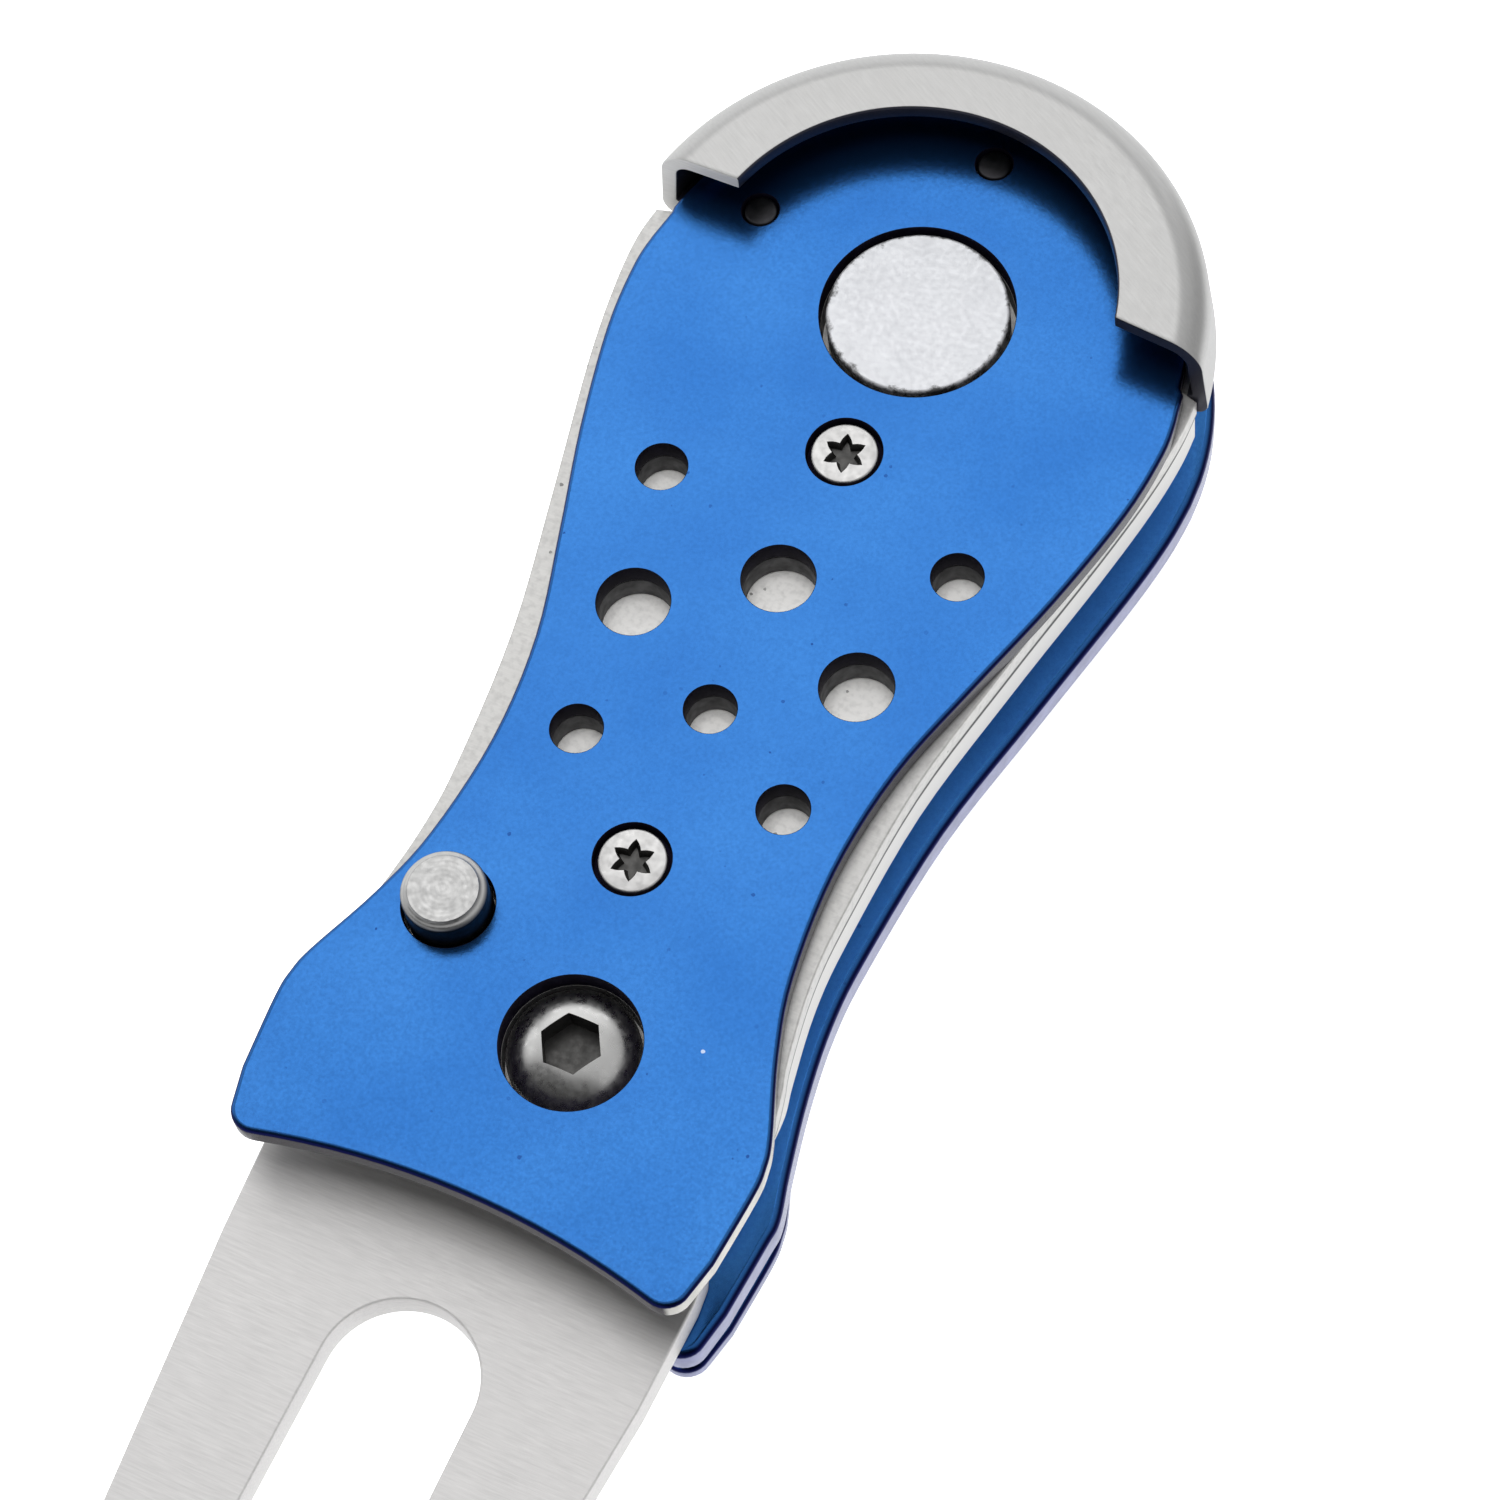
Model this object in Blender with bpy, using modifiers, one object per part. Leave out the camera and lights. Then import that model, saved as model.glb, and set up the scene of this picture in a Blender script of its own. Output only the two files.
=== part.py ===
"""Folding divot repair tool: two anodised covers over a steel frame, a two-prong fork and its button lock.

Millimetres inside the script, metres in the scene. The origin is on the underside of the back cover,
below the middle of the marker magnet. +X is right, +Y runs toward the marker arch, +Z out of the front.
"""

import math

import bmesh
import bpy

MM = 0.001

# Layers, from the back to the front
BACK_COVER_Z = (0.0, 1.3)
BACK_PLATE_Z = (1.4, 3.75)
BLADE_Z = (3.85, 5.95)
LINER_Z = (6.05, 8.45)
FRAME_Z = (8.55, 10.05)
FRONT_COVER_Z = (10.15, 11.45)
THROUGH = 0.5
EDGE_ROUND = 0.3
EDGE_FACET = 0.1
PLATE_CHAMFER = 0.2

# Outlines of the handle: (y, half width)
COVER_SIDE = (
    (-54.6, 13.56),
    (-50.4, 13.87),
    (-48.8, 13.78),
    (-47.25, 13.38),
    (-43.05, 11.74),
    (-38.85, 10.61),
    (-32.55, 10.07),
    (-26.25, 10.67),
    (-19.95, 12.37),
    (-13.65, 14.21),
    (-7.35, 15.63),
    (-3.15, 16.03),
    (-1.05, 15.88),
)
# (y, half width, shift of the middle): the frame and the liner share their sides above the flare
STEEL_SIDE = (
    (-42.5, 12.03, -0.06),
    (-38.4, 11.46, -0.14),
    (-34.2, 11.4, -0.2),
    (-25.9, 12.05, -0.38),
    (-17.5, 13.7, -0.5),
    (-9.2, 15.5, -0.58),
    (-4.2, 16.35, -0.55),
    (-0.85, 16.63, -0.5),
    (1.3, 16.5, -0.4),
)
FRAME_FLARE = (
    (-52.6, 12.3, 0.0),
    (-50.4, 13.15, 0.0),
    (-48.4, 13.0, 0.0),
    (-46.2, 12.85, 0.0),
    (-44.3, 12.45, 0.0),
)
LINER_FLARE = (
    (-52.2, 11.5, 0.0),
    (-50.4, 12.3, 0.0),
    (-48.0, 12.25, 0.0),
    (-46.2, 12.4, 0.0),
    (-44.3, 12.35, 0.0),
)
STEEL_BOTTOM_INSET = 2.6
FRAME_IN_ARCH = 2.0
LINER_IN_ARCH = 1.0
LINER_INSET = 0.1
BACK_SIDE = (
    (-54.6, 13.5),
    (-50.4, 13.8),
    (-48.8, 13.85),
    (-46.2, 13.2),
    (-42.0, 12.3),
    (-37.8, 11.75),
    (-33.6, 11.75),
    (-25.2, 12.5),
    (-16.8, 14.25),
    (-8.4, 16.05),
    (-4.2, 16.75),
    (-1.4, 16.93),
)
SPAN_STEPS = 2
CORNER = (12.9, -58.1)
CORNER_FILLET = 1.4
CORNER_SIDE = (0.9, 6.0)
BOTTOM_MIDDLE_Y = -56.3

# Marker arch
ARCH = (-0.18, -1.42)
ARCH_LEFT_END_Y = 2.1
ARCH_RIGHT_END_Y = (1.85, 1.35)
ARCH_FOOT_Y = 1.8
WALL_RADIUS_LOW = 17.15
WALL_RADIUS_HIGH = 16.85
FOOT_BEND_RADIUS = 1.3
BEND_RADIUS = 1.9
SHEET = 0.95
LIP_CENTRE = (-0.34, -0.8)
LIP_RADIUS = 11.7
LIP_TOP_Z = 14.95
LIP_EDGE = 0.2
FOOT_CHAMFER = 0.3
FOOT_REACH = 1.4
COVER_IN_ARCH_RADIUS = 15.6
COVER_TOP_CENTRE_Y = -2.6
COVER_TOP_RADIUS = 15.9
COVER_STEP_Y = (0.75, 1.1)
BACK_TOP_RADIUS = 16.93
BACK_TOP_Y = 0.2
BACK_COVER_TOP_Y = 0.0

# Holes of the face
LARGE_HOLES = ((0.0, -18.09), (-6.63, -22.4), (6.63, -22.4))
LARGE_RADIUS = 2.03
SMALL_HOLES = ((0.0, -26.61), (-8.85, -14.31), (8.85, -14.31), (-6.09, -30.43), (6.09, -30.43))
SMALL_RADIUS = 1.44

# Face screws
SCREWS = {"upper": (0.0, -9.64), "lower": (0.0, -36.13)}
SCREW_HOLE_RADIUS = 2.12
SCREW_HEAD_RADIUS = 1.87
SCREW_SHANK_RADIUS = 1.0
SHANK_HOLE_RADIUS = 1.15
SCREW_LEDGE = 0.35
SCREW_SUNK = 0.15
SCREW_CHAMFER = 0.15
SCREW_TIP_CHAMFER = 0.25
SCREW_HEAD_GAP = 0.05
FRONT_SCREW_END_Z = 6.25
BACK_SCREW_END_Z = 3.6
STAR_RADIUS = 0.86
STAR_LOBE = 0.2
STAR_TURN_DEG = 46.0
STAR_DEPTH = 0.5

# Magnet and rivets
MAGNET_RADIUS = 5.11
MAGNET_BORE_RADIUS = 5.46
MAGNET_SUNK = 0.1
MAGNET_CHAMFER = 0.15
RIVETS = {"left": (-10.9, 2.7), "top": (0.0, 10.4)}
RIVET_RADIUS = 0.96
RIVET_HOLE_RADIUS = 1.08
RIVET_SUNK = 0.1
RIVET_CHAMFER = 0.15

# Pivot
PIVOT = (1.62, -46.71)
PIVOT_RECESS_RADIUS = 3.78
PIVOT_HEAD_RADIUS = 3.57
PIVOT_HEAD_TOP_Z = 11.55
PIVOT_RIM_Z = 10.0
PIVOT_FLAT_RADIUS = 0.3
HEX_ACROSS_FLATS = 3.0
HEX_DEPTH = 1.7
PIVOT_SHANK_RADIUS = 1.5
PIVOT_SHANK_END_Z = 2.2
BARREL_BORE_RADIUS = 1.6
BARREL_RADIUS = 2.5
BARREL_HOLE_RADIUS = 2.6
BARREL_TOP_Z = 8.35
BARREL_FLOOR_Z = 1.9
FLANGE_RADIUS = 4.2
FLANGE_HOLE_RADIUS = 4.4
FLANGE_Z = (0.2, 1.3)
FLANGE_CHAMFER = 0.3
WASHER_RADIUS = 4.6
WASHER_SEAT_RADIUS = 4.8
WASHER_THICK = 0.35
WASHER_RECESS = 0.4
WASHER_GAP = 0.05

# Lock button
BUTTON = (-7.78, -42.24)
BUTTON_HOLE_RADIUS = 2.5
CAP_RADIUS = 2.32
CAP_FLAT_RADIUS = 2.0
CAP_Z = (9.95, 13.4)
NECK_RADIUS = 1.3
NECK_HOLE_RADIUS = 1.5
COLLAR_RADIUS = 2.3
COLLAR_Z = (5.25, 5.95)
PILOT_RADIUS = 0.9
PILOT_END_Z = 2.9
SPRING_POCKET_RADIUS = 2.0
BUTTON_SPRING_RADIUS = 1.45
BUTTON_SPRING_WIRE = 0.35
BUTTON_SPRING_Z = (1.65, 4.95)
BUTTON_SPRING_TURNS = 4.0

# Opening spring
TORSION_POCKET_RADIUS = 5.2
TORSION_POCKET_FLOOR_Z = 1.95
TORSION_RADIUS = 4.1
TORSION_WIRE = 0.5
TORSION_TURNS = 2.0
TORSION_Z = (2.35, 3.4)
TORSION_START_DEG = 100.0
TORSION_LEG_END = 7.6
TORSION_SLOT_HALF = 0.55
TORSION_SLOT_END = 8.1

# Fork
NOTCH_RADIUS = 2.45
NOTCH_SEAT = 10.4
NOTCH_START_DEG = -25.4
NOTCH_REACH = 17.0
SHOULDER_LEFT = ((-10.4, -43.0), (-11.6, -46.6), (-12.6, -50.0), (-12.5, -55.2))
SHOULDER_RIGHT = ((12.3, -55.4), (12.15, -53.9), (11.2, -51.4), (9.8, -46.0))
BLADE_ROOT = (12.15, -61.6)
BLADE_TAPER = 0.085
TANG_RADIUS = 7.95
TANG_HEAD_RADIUS = 12.0
TANG_HEAD_DEG = (20.0, 140.0)
TANG_BORE_RADIUS = 2.65
SLOT_CENTRE_Y = -65.2
SLOT_ROOT_HALF = 4.35
SLOT_TIP_HALF = 4.7
TIP_Y = -100.0
TIP_ROUND = 2.1
FORK_EDGE = 0.15

# Spacer between the liners
SPACER_INNER = ((-9.9, -36.0), (-6.4, 8.0))
SPACER_SWEEP_RADIUS = 54.9
SPACER_INSET = 0.6
SPACER_END_X = 9.0
SPACER_TOP_Y = 3.0
SPACER_SIDE_Y = -35.5

COLLECTION = "Divot repair tool"
CUTTERS = "Cutters"


def clear_scene():
    for item in list(bpy.data.objects):
        bpy.data.objects.remove(item, do_unlink=True)


def new_collection(name):
    made = bpy.data.collections.new(name)
    bpy.context.scene.collection.children.link(made)
    return made


def material(name, colour, metallic, roughness):
    made = bpy.data.materials.new(name)
    made.use_nodes = True
    shader = made.node_tree.nodes["Principled BSDF"]
    shader.inputs["Base Color"].default_value = (*colour, 1.0)
    shader.inputs["Metallic"].default_value = metallic
    shader.inputs["Roughness"].default_value = roughness
    return made


def add_object(name, mesh, origin=(0.0, 0.0)):
    made = bpy.data.objects.new(name, mesh)
    made.location = (origin[0] * MM, origin[1] * MM, 0.0)
    parts.objects.link(made)
    return made


def finish(node, slot):
    node.data.materials.append(slot)
    if node.type == "MESH":
        node.data.shade_smooth()
        node.data.set_sharp_from_angle(angle=math.radians(35))
    return node


def as_cutter(node):
    parts.objects.unlink(node)
    cutters.objects.link(node)
    node.hide_render = True
    node.display_type = "WIRE"
    return node


def cut(node, tool, operation="DIFFERENCE"):
    boolean = node.modifiers.new(operation.title(), "BOOLEAN")
    boolean.operation = operation
    boolean.solver = "EXACT"
    boolean.object = as_cutter(tool)
    return node


def polar(centre, radius, degrees):
    angle = math.radians(degrees)
    return (centre[0] + radius * math.cos(angle), centre[1] + radius * math.sin(angle))


def arc(centre, radius, start, end, steps):
    return [polar(centre, radius, start + (end - start) * i / steps) for i in range(steps + 1)]


def circle(centre, radius, steps):
    return arc(centre, radius, 0.0, 360.0, steps)[:-1]


def spline(stations, steps):
    """Catmull-Rom curve through the stations."""
    ends = [stations[0], *stations, stations[-1]]
    points = []
    for i in range(1, len(ends) - 2):
        a, b, c, d = ends[i - 1 : i + 3]
        for step in range(steps):
            t = step / steps
            points.append(tuple(catmull(a[k], b[k], c[k], d[k], t) for k in range(2)))
    return [*points, stations[-1]]


def catmull(a, b, c, d, t):
    return 0.5 * (2 * b + (c - a) * t + (2 * a - 5 * b + 4 * c - d) * t**2 + (3 * b - a - 3 * c + d) * t**3)


def fillet(before, corner, after, radius, steps):
    """Arc that rounds a corner between two straight sides."""
    to_before = unit(before[0] - corner[0], before[1] - corner[1])
    to_after = unit(after[0] - corner[0], after[1] - corner[1])
    half = 0.5 * math.acos(max(-1.0, min(1.0, to_before[0] * to_after[0] + to_before[1] * to_after[1])))
    middle = unit(to_before[0] + to_after[0], to_before[1] + to_after[1])
    reach = radius / math.sin(half)
    centre = (corner[0] + middle[0] * reach, corner[1] + middle[1] * reach)
    run = radius / math.tan(half)
    first = (corner[0] + to_before[0] * run, corner[1] + to_before[1] * run)
    last = (corner[0] + to_after[0] * run, corner[1] + to_after[1] * run)
    start = math.degrees(math.atan2(first[1] - centre[1], first[0] - centre[0]))
    turn = math.degrees(math.atan2(last[1] - centre[1], last[0] - centre[0])) - start
    turn = (turn + 180.0) % 360.0 - 180.0
    return arc(centre, radius, start, start + turn, steps)


def unit(x, y):
    length = math.hypot(x, y)
    return (x / length, y / length)


def bottom_edge(inset, steps):
    """Concave arc between the two lower corners, left to right, with rounded corners."""
    half, low = CORNER[0] - inset, CORNER[1] + inset
    rise = BOTTOM_MIDDLE_Y - CORNER[1]
    radius = (half**2 + rise**2) / (2 * rise)
    centre = (0.0, low + rise - radius)
    reach = math.degrees(math.asin(half / radius))
    points = arc(centre, radius, 90.0 + reach, 90.0 - reach, steps)
    side = (half + CORNER_SIDE[0], low + CORNER_SIDE[1])
    left = fillet((-side[0], side[1]), points[0], points[1], CORNER_FILLET, 3)
    right = fillet(points[-2], points[-1], side, CORNER_FILLET, 3)
    return [*left, *points[1:-1], *right]


def handle_outline(side, inset, top, bottom_inset=0.0):
    """Closed outline, counterclockwise: bottom edge, right side, top, left side."""
    stations = [(*row, 0.0)[:3] for row in side]
    right = spline([(shift + half - inset, y) for y, half, shift in stations], SPAN_STEPS)
    left = spline([(shift - half + inset, y) for y, half, shift in stations], SPAN_STEPS)
    return [*bottom_edge(bottom_inset, 8), *right, *top, *reversed(left)]


def cover_outline():
    """The cover is cut back inside the arch wall."""
    middle = (0.0, COVER_TOP_CENTRE_Y)
    low, high = COVER_STEP_Y
    from_low = math.degrees(math.asin((low - middle[1]) / COVER_TOP_RADIUS))
    from_high = math.degrees(math.asin((high - ARCH[1]) / COVER_IN_ARCH_RADIUS))
    right = polar(middle, COVER_TOP_RADIUS, from_low)
    top = arc(ARCH, COVER_IN_ARCH_RADIUS, from_high, 180.0 - from_high, 22)
    return handle_outline(COVER_SIDE, 0.0, [right, *top, (-right[0], right[1])])


def round_top(centre, radius, low_y, steps):
    start = math.degrees(math.asin((low_y - centre[1]) / radius))
    return arc(centre, radius, start, 180.0 - start, steps)


def steel_outline(flare, inset, arch_inset):
    """Wider than the covers at the waist, and set back under them at the flare and the bottom."""
    top = round_top(ARCH, WALL_RADIUS_LOW - arch_inset, ARCH_FOOT_Y, 22)
    return handle_outline(flare + STEEL_SIDE, inset, top, STEEL_BOTTOM_INSET)


def back_outline():
    return handle_outline(BACK_SIDE, 0.0, round_top((0.0, BACK_SIDE[-1][0]), BACK_TOP_RADIUS, BACK_TOP_Y, 22))


def offset(points, inset):
    """Outline moved inward along its corner bisectors."""
    moved = []
    for i, (x, y) in enumerate(points):
        before = points[i - 1]
        after = points[(i + 1) % len(points)]
        one = unit(x - before[0], y - before[1])
        two = unit(after[0] - x, after[1] - y)
        normal = unit(-one[1] - two[1], one[0] + two[0])
        spread = max(0.5, -normal[0] * one[1] + normal[1] * one[0])
        moved.append((x + normal[0] * inset / spread, y + normal[1] * inset / spread))
    return moved


def stack(shape, points, layers, origin=(0.0, 0.0)):
    """Adds a solid built of outlines at each (z, inset) to the bmesh."""
    rings = []
    for z, inset in layers:
        ring = offset(points, inset) if inset else points
        rings.append([shape.verts.new(((x - origin[0]) * MM, (y - origin[1]) * MM, z * MM)) for x, y in ring])
    shape.faces.new(reversed(rings[0]))
    shape.faces.new(rings[-1])
    for low, high in zip(rings, rings[1:]):
        for i in range(len(low)):
            j = (i + 1) % len(low)
            shape.faces.new((low[i], low[j], high[j], high[i]))


def solid(name, stacks, origin=(0.0, 0.0)):
    """Object made of one or more stacks of outlines."""
    shape = bmesh.new()
    for points, layers in stacks:
        stack(shape, points, layers, origin)
    mesh = bpy.data.meshes.new(name)
    shape.to_mesh(mesh)
    shape.free()
    return add_object(name, mesh, origin)


def turned(name, centre, profile, steps):
    """Solid of revolution. The profile runs from the top of the axis, down the outside, to its bottom."""
    mesh = bpy.data.meshes.new(name)
    shape = bmesh.new()
    verts = [shape.verts.new((radius * MM, 0.0, z * MM)) for radius, z in profile]
    for one, two in zip(verts, verts[1:]):
        shape.edges.new((one, two))
    shape.to_mesh(mesh)
    shape.free()
    made = add_object(name, mesh, centre)
    screw = made.modifiers.new("Screw", "SCREW")
    screw.axis = "Z"
    screw.steps = steps
    screw.render_steps = steps
    screw.use_merge_vertices = True
    screw.merge_threshold = 0.00001
    return baked(made)


def baked(node):
    """The object with its modifiers made into mesh."""
    bpy.context.view_layer.update()
    graph = bpy.context.evaluated_depsgraph_get()
    mesh = bpy.data.meshes.new_from_object(node.evaluated_get(graph))
    shape = bmesh.new()
    shape.from_mesh(mesh)
    bmesh.ops.remove_doubles(shape, verts=shape.verts, dist=0.000001)
    bmesh.ops.recalc_face_normals(shape, faces=shape.faces)
    shape.to_mesh(mesh)
    shape.free()
    node.modifiers.clear()
    node.data = mesh
    return node


def wire(name, points, thickness, slot, origin):
    """Round wire along points."""
    curve = bpy.data.curves.new(name, "CURVE")
    curve.dimensions = "3D"
    line = curve.splines.new("POLY")
    line.points.add(len(points) - 1)
    for place, (x, y, z) in zip(line.points, points):
        place.co = ((x - origin[0]) * MM, (y - origin[1]) * MM, z * MM, 1.0)
    curve.bevel_depth = 0.5 * thickness * MM
    curve.bevel_resolution = 2
    curve.use_fill_caps = True
    curve.materials.append(slot)
    return add_object(name, curve, origin)


def helix(centre, radius, low, high, turns, start, per_turn):
    count = round(turns * per_turn)
    points = []
    for i in range(count + 1):
        x, y = polar(centre, radius, start + 360.0 * turns * i / count)
        points.append((x, y, low + (high - low) * i / count))
    return points


def through(centre, radius, steps, layer):
    """Straight hole through a layer."""
    return (circle(centre, radius, steps), ((layer[0] - THROUGH, 0.0), (layer[1] + THROUGH, 0.0)))


def pocket(centre, radius, steps, low, high):
    return (circle(centre, radius, steps), ((low, 0.0), (high, 0.0)))


def face_holes(layer):
    """The eight round holes of the face."""
    large = [through(place, LARGE_RADIUS, 22, layer) for place in LARGE_HOLES]
    small = [through(place, SMALL_RADIUS, 18, layer) for place in SMALL_HOLES]
    return large + small


def front_cover():
    low, high = FRONT_COVER_Z
    layers = ((low, 0.0), (high - EDGE_ROUND, 0.0), (high - EDGE_FACET, EDGE_FACET), (high, EDGE_ROUND))
    node = solid("front_cover", [(cover_outline(), layers)])
    holes = face_holes(FRONT_COVER_Z)
    holes.append(through((0.0, 0.0), MAGNET_BORE_RADIUS, 36, FRONT_COVER_Z))
    holes.append(through(PIVOT, PIVOT_RECESS_RADIUS, 32, FRONT_COVER_Z))
    holes.append(through(BUTTON, BUTTON_HOLE_RADIUS, 26, FRONT_COVER_Z))
    holes += [through(place, RIVET_HOLE_RADIUS, 14, FRONT_COVER_Z) for place in RIVETS.values()]
    ledge = low + SCREW_LEDGE
    holes += [pocket(place, SCREW_HOLE_RADIUS, 24, ledge, high + THROUGH) for place in SCREWS.values()]
    cut(node, solid("front_cover_holes", holes))
    shanks = [through(place, SHANK_HOLE_RADIUS, 12, FRONT_COVER_Z) for place in SCREWS.values()]
    cut(node, solid("front_cover_shanks", shanks))
    return finish(node, blue)


def arch_profile():
    """Section of the arch as (radius, z): foot, wall, upper bend and lip, counterclockwise."""
    foot_low, foot_high = FRAME_Z
    low_centre = (WALL_RADIUS_LOW - FOOT_BEND_RADIUS, foot_low + FOOT_BEND_RADIUS)
    low_bend = arc(low_centre, FOOT_BEND_RADIUS, -90.0, 0.0, 3)
    high_centre = (WALL_RADIUS_HIGH - BEND_RADIUS, LIP_TOP_Z - BEND_RADIUS)
    high_bend = arc(high_centre, BEND_RADIUS, 0.0, 90.0, 5)
    lip = [
        (LIP_RADIUS + LIP_EDGE, LIP_TOP_Z),
        (LIP_RADIUS, LIP_TOP_Z - LIP_EDGE),
        (LIP_RADIUS, LIP_TOP_Z - SHEET),
    ]
    inside = arc(high_centre, BEND_RADIUS - SHEET, 90.0, 0.0, 3)
    inner = WALL_RADIUS_LOW - SHEET
    foot = [
        (inner, foot_high + FOOT_CHAMFER),
        (inner - FOOT_CHAMFER, foot_high),
        (inner - FOOT_REACH, foot_high),
        (inner - FOOT_REACH, foot_low),
    ]
    return low_bend + high_bend + lip + inside + foot


def arch_place(radius, part):
    """Point of the arch at a radius, from 0 at the right end to 1 at the left end."""
    on_lip = radius < LIP_RADIUS + 0.5 * (WALL_RADIUS_HIGH - LIP_RADIUS - BEND_RADIUS)
    centre = LIP_CENTRE if on_lip else ARCH
    across = (radius - LIP_RADIUS) / (WALL_RADIUS_LOW - LIP_RADIUS)
    right_y = ARCH_RIGHT_END_Y[0] + (ARCH_RIGHT_END_Y[1] - ARCH_RIGHT_END_Y[0]) * across
    start = math.degrees(math.asin((right_y - centre[1]) / radius))
    end = 180.0 - math.degrees(math.asin((ARCH_LEFT_END_Y - centre[1]) / radius))
    return polar(centre, radius, start + (end - start) * part)


def arch_sweep(name, steps):
    """The section swept over the top, each end cut off on its own plane."""
    shape = bmesh.new()
    rings = []
    for i in range(steps + 1):
        ring = []
        for radius, z in arch_profile():
            x, y = arch_place(radius, i / steps)
            ring.append(shape.verts.new((x * MM, y * MM, z * MM)))
        rings.append(ring)
    shape.faces.new(rings[0])
    shape.faces.new(reversed(rings[-1]))
    for one, two in zip(rings, rings[1:]):
        for i in range(len(one)):
            j = (i + 1) % len(one)
            shape.faces.new((one[i], two[i], two[j], one[j]))
    bmesh.ops.recalc_face_normals(shape, faces=shape.faces)
    mesh = bpy.data.meshes.new(name)
    shape.to_mesh(mesh)
    shape.free()
    return add_object(name, mesh)


def marker_frame():
    low, high = FRAME_Z
    outline = steel_outline(FRAME_FLARE, 0.0, FRAME_IN_ARCH)
    node = solid("marker_frame", [(outline, ((low, 0.0), (high, 0.0)))])
    cut(node, arch_sweep("marker_frame_arch", 30), "UNION")
    holes = face_holes(FRAME_Z)
    holes.append(through((0.0, 0.0), MAGNET_BORE_RADIUS, 36, FRAME_Z))
    holes.append(through(PIVOT, PIVOT_RECESS_RADIUS, 32, FRAME_Z))
    holes.append(through(BUTTON, BUTTON_HOLE_RADIUS, 26, FRAME_Z))
    holes += [through(place, RIVET_HOLE_RADIUS, 14, FRAME_Z) for place in RIVETS.values()]
    holes += [through(place, SHANK_HOLE_RADIUS, 12, FRAME_Z) for place in SCREWS.values()]
    cut(node, solid("marker_frame_holes", holes))
    return finish(node, brushed_steel)


def inner_liner():
    outline = steel_outline(LINER_FLARE, LINER_INSET, LINER_IN_ARCH)
    node = solid("inner_liner", [(outline, ((LINER_Z[0], 0.0), (LINER_Z[1], 0.0)))])
    holes = [through(place, SHANK_HOLE_RADIUS, 12, LINER_Z) for place in SCREWS.values()]
    holes += [through(place, RIVET_HOLE_RADIUS, 14, LINER_Z) for place in RIVETS.values()]
    holes.append(through(PIVOT, BARREL_HOLE_RADIUS, 26, LINER_Z))
    holes.append(through(BUTTON, NECK_HOLE_RADIUS, 18, LINER_Z))
    cut(node, solid("inner_liner_holes", holes))
    return finish(node, brushed_steel)


def spine_spacer():
    """Follows the left side and the top, clear of the swinging blade."""
    low_left, high_left = SPACER_INNER
    outline = steel_outline(LINER_FLARE, SPACER_INSET, SPACER_INSET + LINER_IN_ARCH)
    outer = [(x, y) for x, y in outline if keeps_spacer(x, y)]
    end_y = PIVOT[1] + math.sqrt(SPACER_SWEEP_RADIUS**2 - (SPACER_END_X - PIVOT[0]) ** 2)
    start = math.degrees(math.atan2(end_y - PIVOT[1], SPACER_END_X - PIVOT[0]))
    stop_x = high_left[0]
    end = 180.0 - math.degrees(math.acos((PIVOT[0] - stop_x) / SPACER_SWEEP_RADIUS))
    inner = arc(PIVOT, SPACER_SWEEP_RADIUS, end, start, 8)
    foot = (outer[-1][0], low_left[1])
    points = [*outer, foot, low_left, high_left, *inner]
    node = solid("spine_spacer", [(points, ((BLADE_Z[0], 0.0), (BLADE_Z[1], 0.0)))])
    holes = [through(place, RIVET_HOLE_RADIUS, 14, BLADE_Z) for place in RIVETS.values()]
    cut(node, solid("spine_spacer_holes", holes))
    return finish(node, brushed_steel)


def keeps_spacer(x, y):
    over_the_top = y > SPACER_TOP_Y and x < SPACER_END_X
    down_the_left = x < 0.0 and y > SPACER_SIDE_Y
    return over_the_top or down_the_left


def back_plate():
    low, high = BACK_PLATE_Z
    layers = ((low, 0.0), (high - PLATE_CHAMFER, 0.0), (high, PLATE_CHAMFER))
    node = solid("back_plate", [(back_outline(), layers)])
    holes = [through(place, SHANK_HOLE_RADIUS, 12, BACK_PLATE_Z) for place in SCREWS.values()]
    holes += [through(place, RIVET_HOLE_RADIUS, 14, BACK_PLATE_Z) for place in RIVETS.values()]
    holes.append(through(PIVOT, BARREL_HOLE_RADIUS, 26, BACK_PLATE_Z))
    holes.append(through(BUTTON, SPRING_POCKET_RADIUS, 20, BACK_PLATE_Z))
    cut(node, solid("back_plate_holes", holes))
    cut(node, solid("back_plate_pocket", [torsion_pocket()]))
    return finish(node, blue)


def torsion_pocket():
    """Round pocket with a slot for the fixed leg."""
    half = math.degrees(math.asin(TORSION_SLOT_HALF / TORSION_POCKET_RADIUS))
    around = arc(PIVOT, TORSION_POCKET_RADIUS, TORSION_START_DEG + half, TORSION_START_DEG + 360.0 - half, 30)
    along = polar((0.0, 0.0), TORSION_SLOT_END, TORSION_START_DEG)
    aside = polar((0.0, 0.0), TORSION_SLOT_HALF, TORSION_START_DEG + 90.0)
    right = (PIVOT[0] + along[0] - aside[0], PIVOT[1] + along[1] - aside[1])
    left = (PIVOT[0] + along[0] + aside[0], PIVOT[1] + along[1] + aside[1])
    layers = ((TORSION_POCKET_FLOOR_Z, 0.0), (BACK_PLATE_Z[1] + THROUGH, 0.0))
    return ([*around, right, left], layers)


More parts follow.
